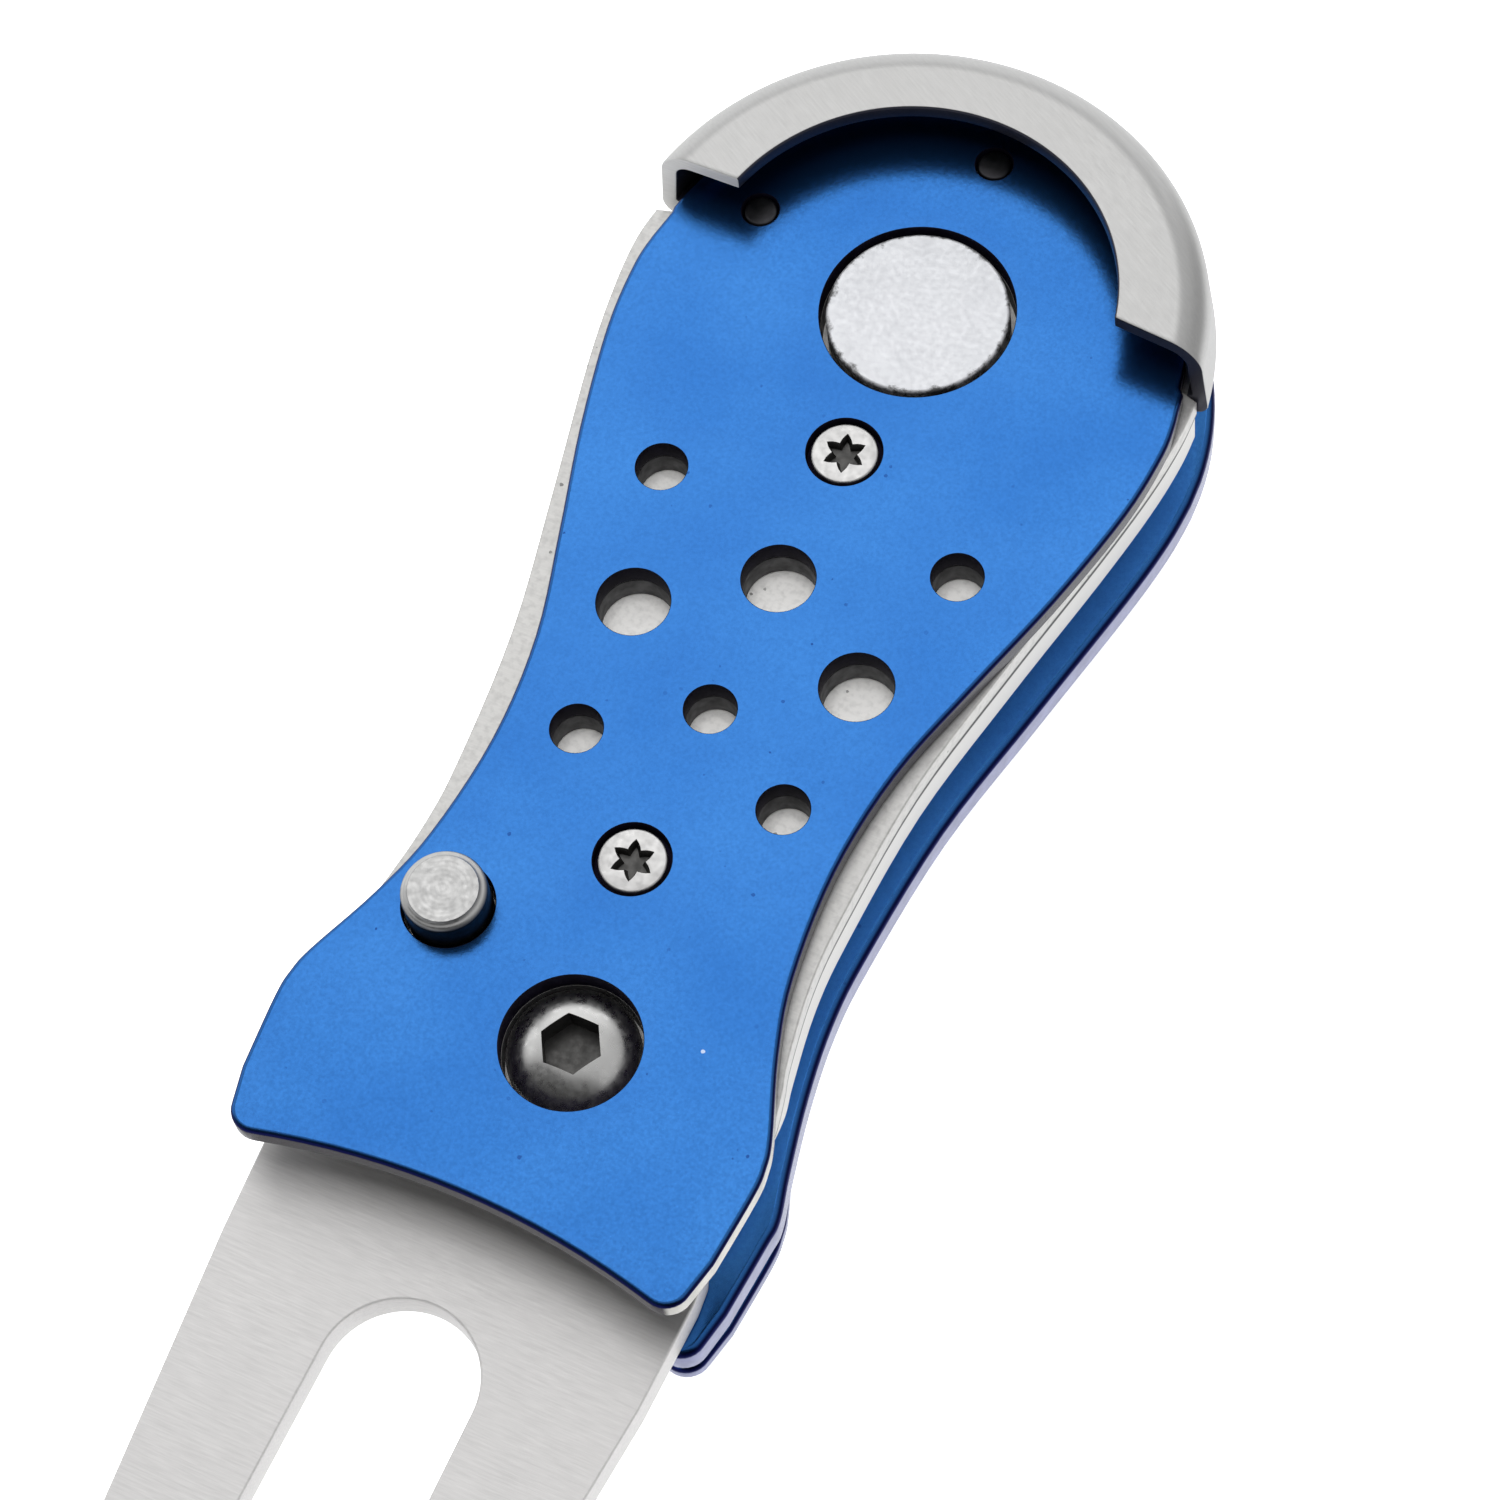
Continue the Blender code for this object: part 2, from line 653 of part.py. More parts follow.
def back_cover():
    low, high = BACK_COVER_Z
    layers = ((low, EDGE_ROUND), (low + EDGE_FACET, EDGE_FACET), (low + EDGE_ROUND, 0.0), (high, 0.0))
    top = round_top((0.0, COVER_TOP_CENTRE_Y), COVER_TOP_RADIUS, BACK_COVER_TOP_Y, 22)
    outline = handle_outline(COVER_SIDE, 0.0, top)
    node = solid("back_cover", [(outline, layers)])
    holes = face_holes(BACK_COVER_Z)
    holes.append(through(PIVOT, FLANGE_HOLE_RADIUS, 32, BACK_COVER_Z))
    ledge = high - SCREW_LEDGE
    holes += [pocket(place, SCREW_HOLE_RADIUS, 24, low - THROUGH, ledge) for place in SCREWS.values()]
    cut(node, solid("back_cover_holes", holes))
    shanks = [through(place, SHANK_HOLE_RADIUS, 12, BACK_COVER_Z) for place in SCREWS.values()]
    cut(node, solid("back_cover_shanks", shanks))
    return finish(node, blue)


def marker_magnet():
    low, high = FRAME_Z[0], FRONT_COVER_Z[1] - MAGNET_SUNK
    layers = ((low, 0.0), (high - MAGNET_CHAMFER, 0.0), (high, MAGNET_CHAMFER))
    return finish(solid("marker_magnet", [(circle((0.0, 0.0), MAGNET_RADIUS, 36), layers)]), magnet_plate)


def arch_rivet(side):
    low, high = BACK_PLATE_Z[0] + RIVET_SUNK, FRONT_COVER_Z[1] - RIVET_SUNK
    layers = ((low, 0.0), (high - RIVET_CHAMFER, 0.0), (high, RIVET_CHAMFER))
    place = RIVETS[side]
    return finish(solid(f"arch_rivet_{side}", [(circle(place, RIVET_RADIUS, 14), layers)], place), dark_steel)


def star(centre, steps):
    """Six-lobe recess outline."""
    points = []
    for i in range(steps):
        degrees = 360.0 * i / steps
        radius = STAR_RADIUS + STAR_LOBE * math.cos(6 * math.radians(degrees))
        points.append(polar(centre, radius, degrees + STAR_TURN_DEG))
    return points


def face_screw(name, centre, face_z, inward, ledge_z, end_z):
    """Flat-head screw. Inward is -1 from the front and +1 from the back."""
    head = face_z + inward * SCREW_SUNK
    profile = [
        (0.0, head),
        (SCREW_HEAD_RADIUS - SCREW_CHAMFER, head),
        (SCREW_HEAD_RADIUS, head + inward * SCREW_CHAMFER),
        (SCREW_HEAD_RADIUS, ledge_z),
        (SCREW_SHANK_RADIUS, ledge_z),
        (SCREW_SHANK_RADIUS, end_z - inward * SCREW_TIP_CHAMFER),
        (SCREW_SHANK_RADIUS - SCREW_TIP_CHAMFER, end_z),
        (0.0, end_z),
    ]
    node = turned(name, centre, profile if inward < 0 else profile[::-1], 24)
    levels = sorted((head - inward * THROUGH, head + inward * STAR_DEPTH))
    cut(node, solid(f"{name}_star", [(star(centre, 24), ((levels[0], 0.0), (levels[1], 0.0)))]))
    return finish(node, screw_steel)


def front_screw(place):
    ledge = FRONT_COVER_Z[0] + SCREW_LEDGE + SCREW_HEAD_GAP
    return face_screw(f"front_screw_{place}", SCREWS[place], FRONT_COVER_Z[1], -1, ledge, FRONT_SCREW_END_Z)


def back_screw(place):
    ledge = BACK_COVER_Z[1] - SCREW_LEDGE - SCREW_HEAD_GAP
    return face_screw(f"back_screw_{place}", SCREWS[place], BACK_COVER_Z[0], 1, ledge, BACK_SCREW_END_Z)


def pivot_screw():
    """Domed head with a hex socket, and a shank inside the barrel."""
    rise = PIVOT_HEAD_TOP_Z - PIVOT_RIM_Z
    run = PIVOT_HEAD_RADIUS - PIVOT_FLAT_RADIUS
    radius = (run**2 + rise**2) / (2 * rise)
    middle = (PIVOT_FLAT_RADIUS, PIVOT_HEAD_TOP_Z - radius)
    reach = math.degrees(math.asin(min(1.0, run / radius)))
    dome = arc(middle, radius, 90.0, 90.0 - reach, 6)
    profile = [
        (0.0, PIVOT_HEAD_TOP_Z),
        *dome,
        (PIVOT_HEAD_RADIUS, FRAME_Z[0]),
        (PIVOT_SHANK_RADIUS, FRAME_Z[0]),
        (PIVOT_SHANK_RADIUS, PIVOT_SHANK_END_Z),
        (0.0, PIVOT_SHANK_END_Z),
    ]
    node = turned("pivot_screw", PIVOT, profile, 32)
    corner = HEX_ACROSS_FLATS / math.sqrt(3.0)
    socket = pocket(PIVOT, corner, 6, PIVOT_HEAD_TOP_Z - HEX_DEPTH, PIVOT_HEAD_TOP_Z + THROUGH)
    cut(node, solid("pivot_screw_socket", [socket]))
    return finish(node, screw_steel)


def pivot_barrel():
    low, high = FLANGE_Z
    profile = [
        (0.0, BARREL_FLOOR_Z),
        (BARREL_BORE_RADIUS, BARREL_FLOOR_Z),
        (BARREL_BORE_RADIUS, BARREL_TOP_Z),
        (BARREL_RADIUS, BARREL_TOP_Z),
        (BARREL_RADIUS, high),
        (FLANGE_RADIUS, high),
        (FLANGE_RADIUS, low + FLANGE_CHAMFER),
        (FLANGE_RADIUS - FLANGE_CHAMFER, low),
        (0.0, low),
    ]
    return finish(turned("pivot_barrel", PIVOT, profile, 32), screw_steel)


def washer(name, low):
    high = low + WASHER_THICK
    profile = [
        (BARREL_HOLE_RADIUS, high),
        (WASHER_RADIUS, high),
        (WASHER_RADIUS, low),
        (BARREL_HOLE_RADIUS, low),
        (BARREL_HOLE_RADIUS, high),
    ]
    return finish(turned(name, PIVOT, profile, 26), bronze)


def lock_button():
    low, high = CAP_Z
    rim = CAP_RADIUS - CAP_FLAT_RADIUS
    profile = [
        (0.0, high),
        *arc((CAP_FLAT_RADIUS, high - rim), rim, 90.0, 0.0, 3),
        (CAP_RADIUS, low),
        (NECK_RADIUS, low),
        (NECK_RADIUS, COLLAR_Z[1]),
        (COLLAR_RADIUS, COLLAR_Z[1]),
        (COLLAR_RADIUS, COLLAR_Z[0]),
        (PILOT_RADIUS, COLLAR_Z[0]),
        (PILOT_RADIUS, PILOT_END_Z),
        (0.0, PILOT_END_Z),
    ]
    return finish(turned("lock_button", BUTTON, profile, 28), screw_steel)


def button_spring():
    low, high = BUTTON_SPRING_Z
    points = helix(BUTTON, BUTTON_SPRING_RADIUS, low, high, BUTTON_SPRING_TURNS, 0.0, 16)
    return wire("button_spring", points, BUTTON_SPRING_WIRE, spring_steel, BUTTON)


def torsion_spring():
    low, high = TORSION_Z
    coil = helix(PIVOT, TORSION_RADIUS, low, high, TORSION_TURNS, TORSION_START_DEG, 20)
    leg = (*polar(PIVOT, TORSION_LEG_END, TORSION_START_DEG), low)
    return wire("torsion_spring", [leg, *coil], TORSION_WIRE, spring_steel, PIVOT)


def prong(side):
    """Outline of one prong from its outer shoulder round the tip to the slot, right side."""
    drop = BLADE_ROOT[1] - TIP_Y
    outer = BLADE_ROOT[0] - BLADE_TAPER * drop
    outer_corner = (outer, TIP_Y)
    inner_corner = (SLOT_TIP_HALF, TIP_Y)
    tip = [
        *fillet(BLADE_ROOT, outer_corner, inner_corner, TIP_ROUND, 5),
        *fillet(outer_corner, inner_corner, (SLOT_ROOT_HALF, SLOT_CENTRE_Y), TIP_ROUND, 5),
    ]
    return [(side * x, y) for x, y in tip]


def fork_outline():
    """Counterclockwise from the left shoulder, round both prongs and the slot, to the right shoulder."""
    slot = arc((0.0, SLOT_CENTRE_Y), SLOT_ROOT_HALF, 180.0, 0.0, 12)
    left_root = (-BLADE_ROOT[0], BLADE_ROOT[1])
    left = [*SHOULDER_LEFT, left_root, *prong(-1)]
    right = [*reversed(prong(1)), BLADE_ROOT, *SHOULDER_RIGHT]
    head = arc(PIVOT, TANG_HEAD_RADIUS, *TANG_HEAD_DEG, 8)
    return [*left, *slot, *right, *head]


def notch_track():
    """Sector cleared for the plunger, with a round seat at each end."""
    first, last = NOTCH_START_DEG, NOTCH_START_DEG + 180.0
    inner = arc(PIVOT, TANG_RADIUS, first, last, 24)
    far = arc(polar(PIVOT, NOTCH_SEAT, last), NOTCH_RADIUS, last + 180.0, last, 8)
    near = arc(polar(PIVOT, NOTCH_SEAT, first), NOTCH_RADIUS, first, first - 180.0, 8)
    outer = arc(PIVOT, NOTCH_REACH, last, first, 12)
    return [*inner, *far[1:], *outer, *near[:-1]]


def fork():
    low, high = BLADE_Z
    layers = ((low, FORK_EDGE), (low + FORK_EDGE, 0.0), (high - FORK_EDGE, 0.0), (high, FORK_EDGE))
    node = solid("fork", [(fork_outline(), layers)], PIVOT)
    track = (list(reversed(notch_track())), ((low - THROUGH, 0.0), (high + THROUGH, 0.0)))
    cut(node, solid("fork_track", [track]))
    cut(node, solid("fork_bore", [through(PIVOT, TANG_BORE_RADIUS, 26, BLADE_Z)]))
    upper = pocket(PIVOT, WASHER_SEAT_RADIUS, 30, high - WASHER_RECESS, high + THROUGH)
    lower = pocket(PIVOT, WASHER_SEAT_RADIUS, 30, low - THROUGH, low + WASHER_RECESS)
    cut(node, solid("fork_washer_seats", [upper, lower]))
    return finish(node, fork_steel)


clear_scene()
parts = new_collection(COLLECTION)
cutters = new_collection(CUTTERS)
cutters.hide_render = True

blue = material("anodised_blue", (0.05, 0.22, 0.62), 0.85, 0.38)
brushed_steel = material("brushed_steel", (0.62, 0.61, 0.59), 1.0, 0.38)
fork_steel = material("fork_steel", (0.66, 0.65, 0.63), 1.0, 0.36)
screw_steel = material("bright_steel", (0.7, 0.69, 0.67), 1.0, 0.22)
magnet_plate = material("nickel_plate", (0.78, 0.78, 0.79), 1.0, 0.42)
dark_steel = material("dark_steel", (0.05, 0.06, 0.1), 0.9, 0.4)
spring_steel = material("spring_steel", (0.45, 0.45, 0.46), 1.0, 0.3)
bronze = material("bronze", (0.55, 0.36, 0.16), 1.0, 0.35)

front_cover()
marker_frame()
marker_magnet()
inner_liner()
spine_spacer()
back_plate()
back_cover()
arch_rivet("left")
arch_rivet("top")
front_screw("upper")
front_screw("lower")
back_screw("upper")
back_screw("lower")
pivot_screw()
pivot_barrel()
washer("washer_front", BLADE_Z[1] - WASHER_RECESS + WASHER_GAP)
washer("washer_back", BLADE_Z[0] + WASHER_RECESS - WASHER_GAP - WASHER_THICK)
torsion_spring()
lock_button()
button_spring()
fork()
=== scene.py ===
"""Looks of the folding divot repair tool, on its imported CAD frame. The shape code is in millimetres."""
import math

import bmesh
import bpy
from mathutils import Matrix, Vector


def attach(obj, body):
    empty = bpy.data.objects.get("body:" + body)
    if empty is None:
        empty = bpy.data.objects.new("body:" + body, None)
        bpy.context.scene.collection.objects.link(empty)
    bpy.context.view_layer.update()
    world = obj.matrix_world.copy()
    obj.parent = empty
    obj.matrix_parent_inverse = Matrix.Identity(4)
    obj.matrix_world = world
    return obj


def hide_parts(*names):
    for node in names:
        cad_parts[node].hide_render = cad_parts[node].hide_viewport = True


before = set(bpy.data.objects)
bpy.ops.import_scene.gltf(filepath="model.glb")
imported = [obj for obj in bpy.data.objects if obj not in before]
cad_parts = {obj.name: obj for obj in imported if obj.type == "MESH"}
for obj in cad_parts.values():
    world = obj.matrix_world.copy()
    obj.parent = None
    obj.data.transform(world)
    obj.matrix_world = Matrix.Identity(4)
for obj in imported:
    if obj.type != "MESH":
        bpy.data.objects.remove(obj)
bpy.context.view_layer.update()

MM = 0.001

# ---------------------------------------------------------------- layers and outlines of the CAD
BACK_COVER_Z = (0.0, 1.3)
BACK_PLATE_Z = (1.4, 3.75)
BLADE_Z = (3.85, 5.95)
LINER_Z = (6.05, 8.45)
FRAME_Z = (8.55, 10.05)
FRONT_COVER_Z = (10.15, 11.45)
OVER = 0.5

# A side is a row of stations: y, half width and, where the plate leans, a shift along X.
COVER_SIDE = ((-54.6, 13.56), (-50.4, 13.87), (-48.8, 13.78), (-47.25, 13.38), (-43.05, 11.74),
              (-38.85, 10.61), (-32.55, 10.07), (-26.25, 10.67), (-19.95, 12.37), (-13.65, 14.21),
              (-7.35, 15.63), (-3.15, 16.03), (-1.05, 15.88))
STEEL_SIDE = ((-42.5, 12.03, -0.06), (-38.4, 11.46, -0.14), (-34.2, 11.4, -0.2), (-25.9, 12.05, -0.38),
              (-17.5, 13.7, -0.5), (-9.2, 15.5, -0.58), (-4.2, 16.35, -0.55), (-0.85, 16.63, -0.5),
              (1.3, 16.5, -0.4))
FRAME_FLARE = ((-52.6, 12.3, 0.0), (-50.4, 13.15, 0.0), (-48.4, 13.0, 0.0), (-46.2, 12.85, 0.0),
               (-44.3, 12.45, 0.0))
LINER_FLARE = ((-52.2, 11.5, 0.0), (-50.4, 12.3, 0.0), (-48.0, 12.25, 0.0), (-46.2, 12.4, 0.0),
               (-44.3, 12.35, 0.0))
STEEL_BOTTOM_INSET = 2.6
FRAME_IN_ARCH = 2.0
LINER_IN_ARCH = 1.0
LINER_INSET = 0.1
BACK_SIDE = ((-54.6, 13.5), (-50.4, 13.8), (-48.8, 13.85), (-46.2, 13.2), (-42.0, 12.3), (-37.8, 11.75),
             (-33.6, 11.75), (-25.2, 12.5), (-16.8, 14.25), (-8.4, 16.05), (-4.2, 16.75), (-1.4, 16.93))
SPAN_STEPS = 5
CORNER = (12.9, -58.1)
CORNER_FILLET = 1.4
CORNER_SIDE = (0.9, 6.0)
CORNER_STEPS = 8
BOTTOM_MIDDLE_Y = -56.3
BOTTOM_STEPS = 18
TOP_STEPS = 60

ARCH = (-0.18, -1.42)
ARCH_LEFT_END_Y = 2.1
ARCH_RIGHT_END_Y = (1.85, 1.35)
ARCH_FOOT_Y = 1.8
WALL_RADIUS_LOW = 17.15
WALL_RADIUS_HIGH = 16.85
FOOT_BEND_RADIUS = 1.3
BEND_RADIUS = 1.9
SHEET = 0.95
LIP_CENTRE = (-0.34, -0.8)
LIP_RADIUS = 11.7
LIP_TOP_Z = 14.95
LIP_EDGE_HIGH = 0.14
LIP_EDGE_LOW = 0.1
FOOT_CHAMFER = 0.3
FOOT_REACH = 1.4
ARCH_STEPS = 110
ARCH_EDGE = 0.1
ARCH_EDGE_DEG = 55
COVER_IN_ARCH_RADIUS = 15.6
COVER_TOP_CENTRE_Y = -2.6
COVER_TOP_RADIUS = 15.9
COVER_STEP_Y = (0.75, 1.1)
BACK_TOP_RADIUS = 16.93
BACK_TOP_Y = 0.2
BACK_COVER_TOP_Y = 0.0

# Rounding of a plate's lower and upper edge, and of the mouths of its holes.
COVER_EDGES = (0.06, 0.3)
STEEL_EDGES = (0.12, 0.12)
BACK_PLATE_EDGES = (0.5, 0.5)
BACK_COVER_EDGES = (0.36, 0.42)
BLADE_EDGES = (0.14, 0.14)
COVER_MOUTH = 0.04
SMALL_MOUTH = 0.03
FRAME_MOUTH = 0.05
BUTTON_MOUTH = 0.05
BACK_MOUTH = 0.1
BACK_SCREW_MOUTH = 0.08
FLANGE_MOUTH = 0.12
MOUTH_BULGE = 0.3

# Sides of round holes, and of turned pieces of a like size.
HOLE_STEPS = 56
SMALL_HOLE_STEPS = 48
MAGNET_STEPS = 96
RECESS_STEPS = 80
BUTTON_STEPS = 64
BARREL_STEPS = 48
POCKET_STEPS = 40
PIN_STEPS = 36
HIDDEN_STEPS = 24

LARGE_HOLES = ((0.0, -18.09), (-6.63, -22.4), (6.63, -22.4))
LARGE_RADIUS = 2.03
SMALL_HOLES = ((0.0, -26.61), (-8.85, -14.31), (8.85, -14.31), (-6.09, -30.43), (6.09, -30.43))
SMALL_RADIUS = 1.44
SCREWS = {"upper": (0.0, -9.64), "lower": (0.0, -36.13)}
SCREW_HOLE_RADIUS = 2.12
SCREW_HEAD_RADIUS = 1.87
SCREW_SHANK_RADIUS = 1.0
SHANK_HOLE_RADIUS = 1.15
SCREW_LEDGE = 0.35
SCREW_SUNK = 0.15
SCREW_EDGE = 0.14
SCREW_TIP = 0.25
SCREW_HEAD_GAP = 0.05
FRONT_SCREW_END_Z = 6.25
BACK_SCREW_END_Z = 3.6
STAR_VALLEY = 0.64
STAR_LOBE = 0.52
STAR_SHARPNESS = 1.25
STAR_STEPS = 48
STAR_TURN_DEG = 46.0
STAR_LEVELS = ((-OVER, -0.2), (0.0, -0.05), (0.06, 0.0), (0.5, 0.12))
MAGNET_RADIUS = 5.11
MAGNET_BORE_RADIUS = 5.46
MAGNET_SUNK = 0.1
MAGNET_EDGE = 0.2
RIVETS = {"left": (-10.9, 2.7), "top": (0.0, 10.4)}
RIVET_RADIUS = 0.96
RIVET_HOLE_RADIUS = 1.08
RIVET_SUNK = 0.1
RIVET_EDGE = 0.18

PIVOT = (1.62, -46.71)
PIVOT_RECESS_RADIUS = 3.78
PIVOT_HEAD_RADIUS = 3.57
PIVOT_HEAD_TOP_Z = 11.55
PIVOT_RIM_Z = 10.0
PIVOT_FLAT_RADIUS = 0.3
HEX_ACROSS_FLATS = 3.0
HEX_DEPTH = 1.7
PIVOT_SHANK_RADIUS = 1.5
PIVOT_SHANK_END_Z = 2.2
BARREL_BORE_RADIUS = 1.6
BARREL_RADIUS = 2.5
BARREL_HOLE_RADIUS = 2.6
BARREL_TOP_Z = 8.35
BARREL_FLOOR_Z = 1.9
FLANGE_RADIUS = 4.2
FLANGE_HOLE_RADIUS = 4.4
FLANGE_Z = (0.2, 1.3)
FLANGE_EDGE = 0.25
WASHER_SEAT_RADIUS = 4.8
WASHER_RECESS = 0.4

BUTTON = (-7.78, -42.24)
BUTTON_HOLE_RADIUS = 2.5
CAP_RADIUS = 2.32
CAP_FLAT_RADIUS = 2.0
CAP_Z = (9.95, 13.4)
CAP_STEP_IN = (0.12, 0.05)
CAP_STEP_DOWN = (0.1, 0.16)
NECK_RADIUS = 1.3
NECK_HOLE_RADIUS = 1.5
COLLAR_RADIUS = 2.3
COLLAR_Z = (5.25, 5.95)
PILOT_RADIUS = 0.9
PILOT_END_Z = 2.9
SPRING_POCKET_RADIUS = 2.0

TORSION_POCKET_RADIUS = 5.2
TORSION_POCKET_FLOOR_Z = 1.95
TORSION_START_DEG = 100.0
TORSION_SLOT_END = 8.1
TORSION_SLOT_HALF = 0.55
TORSION_STEPS = 60

NOTCH_RADIUS = 2.45
NOTCH_START_DEG = -25.4
NOTCH_REACH = 17.0
NOTCH_SEAT = 10.4
SHOULDER_LEFT = ((-10.4, -43.0), (-11.6, -46.6), (-12.6, -50.0), (-12.5, -55.2))
SHOULDER_RIGHT = ((12.3, -55.4), (12.15, -53.9), (11.2, -51.4), (9.8, -46.0))
BLADE_ROOT = (12.15, -61.6)
BLADE_TAPER = 0.085
TANG_RADIUS = 7.95
TANG_HEAD_RADIUS = 12.0
TANG_HEAD_DEG = (20.0, 140.0)
TANG_BORE_RADIUS = 2.65
SLOT_CENTRE_Y = -65.2
SLOT_ROOT_HALF = 4.35
SLOT_TIP_HALF = 4.7
TIP_Y = -100.0
TIP_ROUND = 2.1


# ---------------------------------------------------------------- outlines
def polar(centre, radius, degrees):
    angle = math.radians(degrees)
    return (centre[0] + radius * math.cos(angle), centre[1] + radius * math.sin(angle))


def arc(centre, radius, start, end, steps):
    return [polar(centre, radius, start + (end - start) * i / steps) for i in range(steps + 1)]


def circle(centre, radius, steps):
    return arc(centre, radius, 0.0, 360.0, steps)[:-1]


def catmull(a, b, c, d, t):
    return 0.5 * (2 * b + (c - a) * t + (2 * a - 5 * b + 4 * c - d) * t**2 + (3 * b - a - 3 * c + d) * t**3)


def spline(stations, steps):
    ends = [stations[0], *stations, stations[-1]]
    points = []
    for i in range(1, len(ends) - 2):
        a, b, c, d = ends[i - 1:i + 3]
        for step in range(steps):
            t = step / steps
            points.append(tuple(catmull(a[k], b[k], c[k], d[k], t) for k in range(2)))
    return [*points, stations[-1]]


def unit(x, y):
    length = math.hypot(x, y)
    return (x / length, y / length)


def fillet(before, corner, after, radius, steps):
    to_before = unit(before[0] - corner[0], before[1] - corner[1])
    to_after = unit(after[0] - corner[0], after[1] - corner[1])
    half = 0.5 * math.acos(max(-1.0, min(1.0, to_before[0] * to_after[0] + to_before[1] * to_after[1])))
    middle = unit(to_before[0] + to_after[0], to_before[1] + to_after[1])
    reach = radius / math.sin(half)
    centre = (corner[0] + middle[0] * reach, corner[1] + middle[1] * reach)
    run = radius / math.tan(half)
    first = (corner[0] + to_before[0] * run, corner[1] + to_before[1] * run)
    last = (corner[0] + to_after[0] * run, corner[1] + to_after[1] * run)
    start = math.degrees(math.atan2(first[1] - centre[1], first[0] - centre[0]))
    turn = math.degrees(math.atan2(last[1] - centre[1], last[0] - centre[0])) - start
    turn = (turn + 180.0) % 360.0 - 180.0
    return arc(centre, radius, start, start + turn, steps)


def bottom_edge(inset):
    """Hollow bottom edge with round corners. The arc's points inside the corners' rounds are left out."""
    half, low = CORNER[0] - inset, CORNER[1] + inset
    rise = BOTTOM_MIDDLE_Y - CORNER[1]
    radius = (half**2 + rise**2) / (2 * rise)
    centre = (0.0, low + rise - radius)
    reach = math.degrees(math.asin(half / radius))
    points = arc(centre, radius, 90.0 + reach, 90.0 - reach, BOTTOM_STEPS)
    side = (half + CORNER_SIDE[0], low + CORNER_SIDE[1])
    left = fillet((-side[0], side[1]), points[0], points[1], CORNER_FILLET, CORNER_STEPS)
    right = fillet(points[-2], points[-1], side, CORNER_FILLET, CORNER_STEPS)
    return [*left, *points[2:-2], *right]


def handle_outline(side, inset, top, bottom_inset=0.0):
    stations = [(*row, 0.0)[:3] for row in side]
    right = spline([(shift + half - inset, y) for y, half, shift in stations], SPAN_STEPS)
    left = spline([(shift - half + inset, y) for y, half, shift in stations], SPAN_STEPS)
    return [*bottom_edge(bottom_inset), *right, *top, *reversed(left)]


def cover_outline():
    middle = (0.0, COVER_TOP_CENTRE_Y)
    low, high = COVER_STEP_Y
    from_low = math.degrees(math.asin((low - middle[1]) / COVER_TOP_RADIUS))
    from_high = math.degrees(math.asin((high - ARCH[1]) / COVER_IN_ARCH_RADIUS))
    right = polar(middle, COVER_TOP_RADIUS, from_low)
    top = arc(ARCH, COVER_IN_ARCH_RADIUS, from_high, 180.0 - from_high, TOP_STEPS)
    return handle_outline(COVER_SIDE, 0.0, [right, *top, (-right[0], right[1])])


def round_top(centre, radius, low_y):
    start = math.degrees(math.asin((low_y - centre[1]) / radius))
    return arc(centre, radius, start, 180.0 - start, TOP_STEPS)


def steel_outline(flare, inset, arch_inset):
    top = round_top(ARCH, WALL_RADIUS_LOW - arch_inset, ARCH_FOOT_Y)
    return handle_outline(flare + STEEL_SIDE, inset, top, STEEL_BOTTOM_INSET)


def back_outline():
    return handle_outline(BACK_SIDE, 0.0, round_top((0.0, BACK_SIDE[-1][0]), BACK_TOP_RADIUS, BACK_TOP_Y))


def back_cover_outline():
    top = round_top((0.0, COVER_TOP_CENTRE_Y), COVER_TOP_RADIUS, BACK_COVER_TOP_Y)
    return handle_outline(COVER_SIDE, 0.0, top)


def offset(points, inset):
    """Closed outline moved inwards, with the shift held back at sharp corners."""
    moved = []
    for i, (x, y) in enumerate(points):
        before = points[i - 1]
        after = points[(i + 1) % len(points)]
        one = unit(x - before[0], y - before[1])
        two = unit(after[0] - x, after[1] - y)
        normal = unit(-one[1] - two[1], one[0] + two[0])
        spread = max(0.5, -normal[0] * one[1] + normal[1] * one[0])
        moved.append((x + normal[0] * inset / spread, y + normal[1] * inset / spread))
    return moved


# ---------------------------------------------------------------- solids
def stack(shape, points, layers):
    """Closed solid of an outline at each layer's height and inset."""
    rings = []
    for z, inset in layers:
        ring = offset(points, inset) if inset else points
        rings.append([shape.verts.new((x * MM, y * MM, z * MM)) for x, y in ring])
    shape.faces.new(reversed(rings[0]))
    shape.faces.new(rings[-1])
    for low, high in zip(rings, rings[1:]):
        for i in range(len(low)):
            j = (i + 1) % len(low)
            shape.faces.new((low[i], low[j], high[j], high[i]))


def link(name, mesh, material):
    made = bpy.data.objects.new(name, mesh)
    bpy.context.scene.collection.objects.link(made)
    mesh.materials.append(material)
    return made


def solid(name, stacks, material):
    shape = bmesh.new()
    for points, layers in stacks:
        stack(shape, points, layers)
    mesh = bpy.data.meshes.new(name)
    shape.to_mesh(mesh)
    shape.free()
    return link(name, mesh, material)


def rounded(low, high, low_round, high_round, steps):
    """Layers with a quarter-round edge at the bottom and at the top."""
    angles = [0.5 * math.pi * i / steps for i in range(steps + 1)]
    bottom = [(low + low_round * (1 - math.cos(a)), low_round * (1 - math.sin(a))) for a in angles]
    top = [(high - high_round * (1 - math.sin(a)), high_round * (1 - math.cos(a))) for a in angles]
    return bottom + top


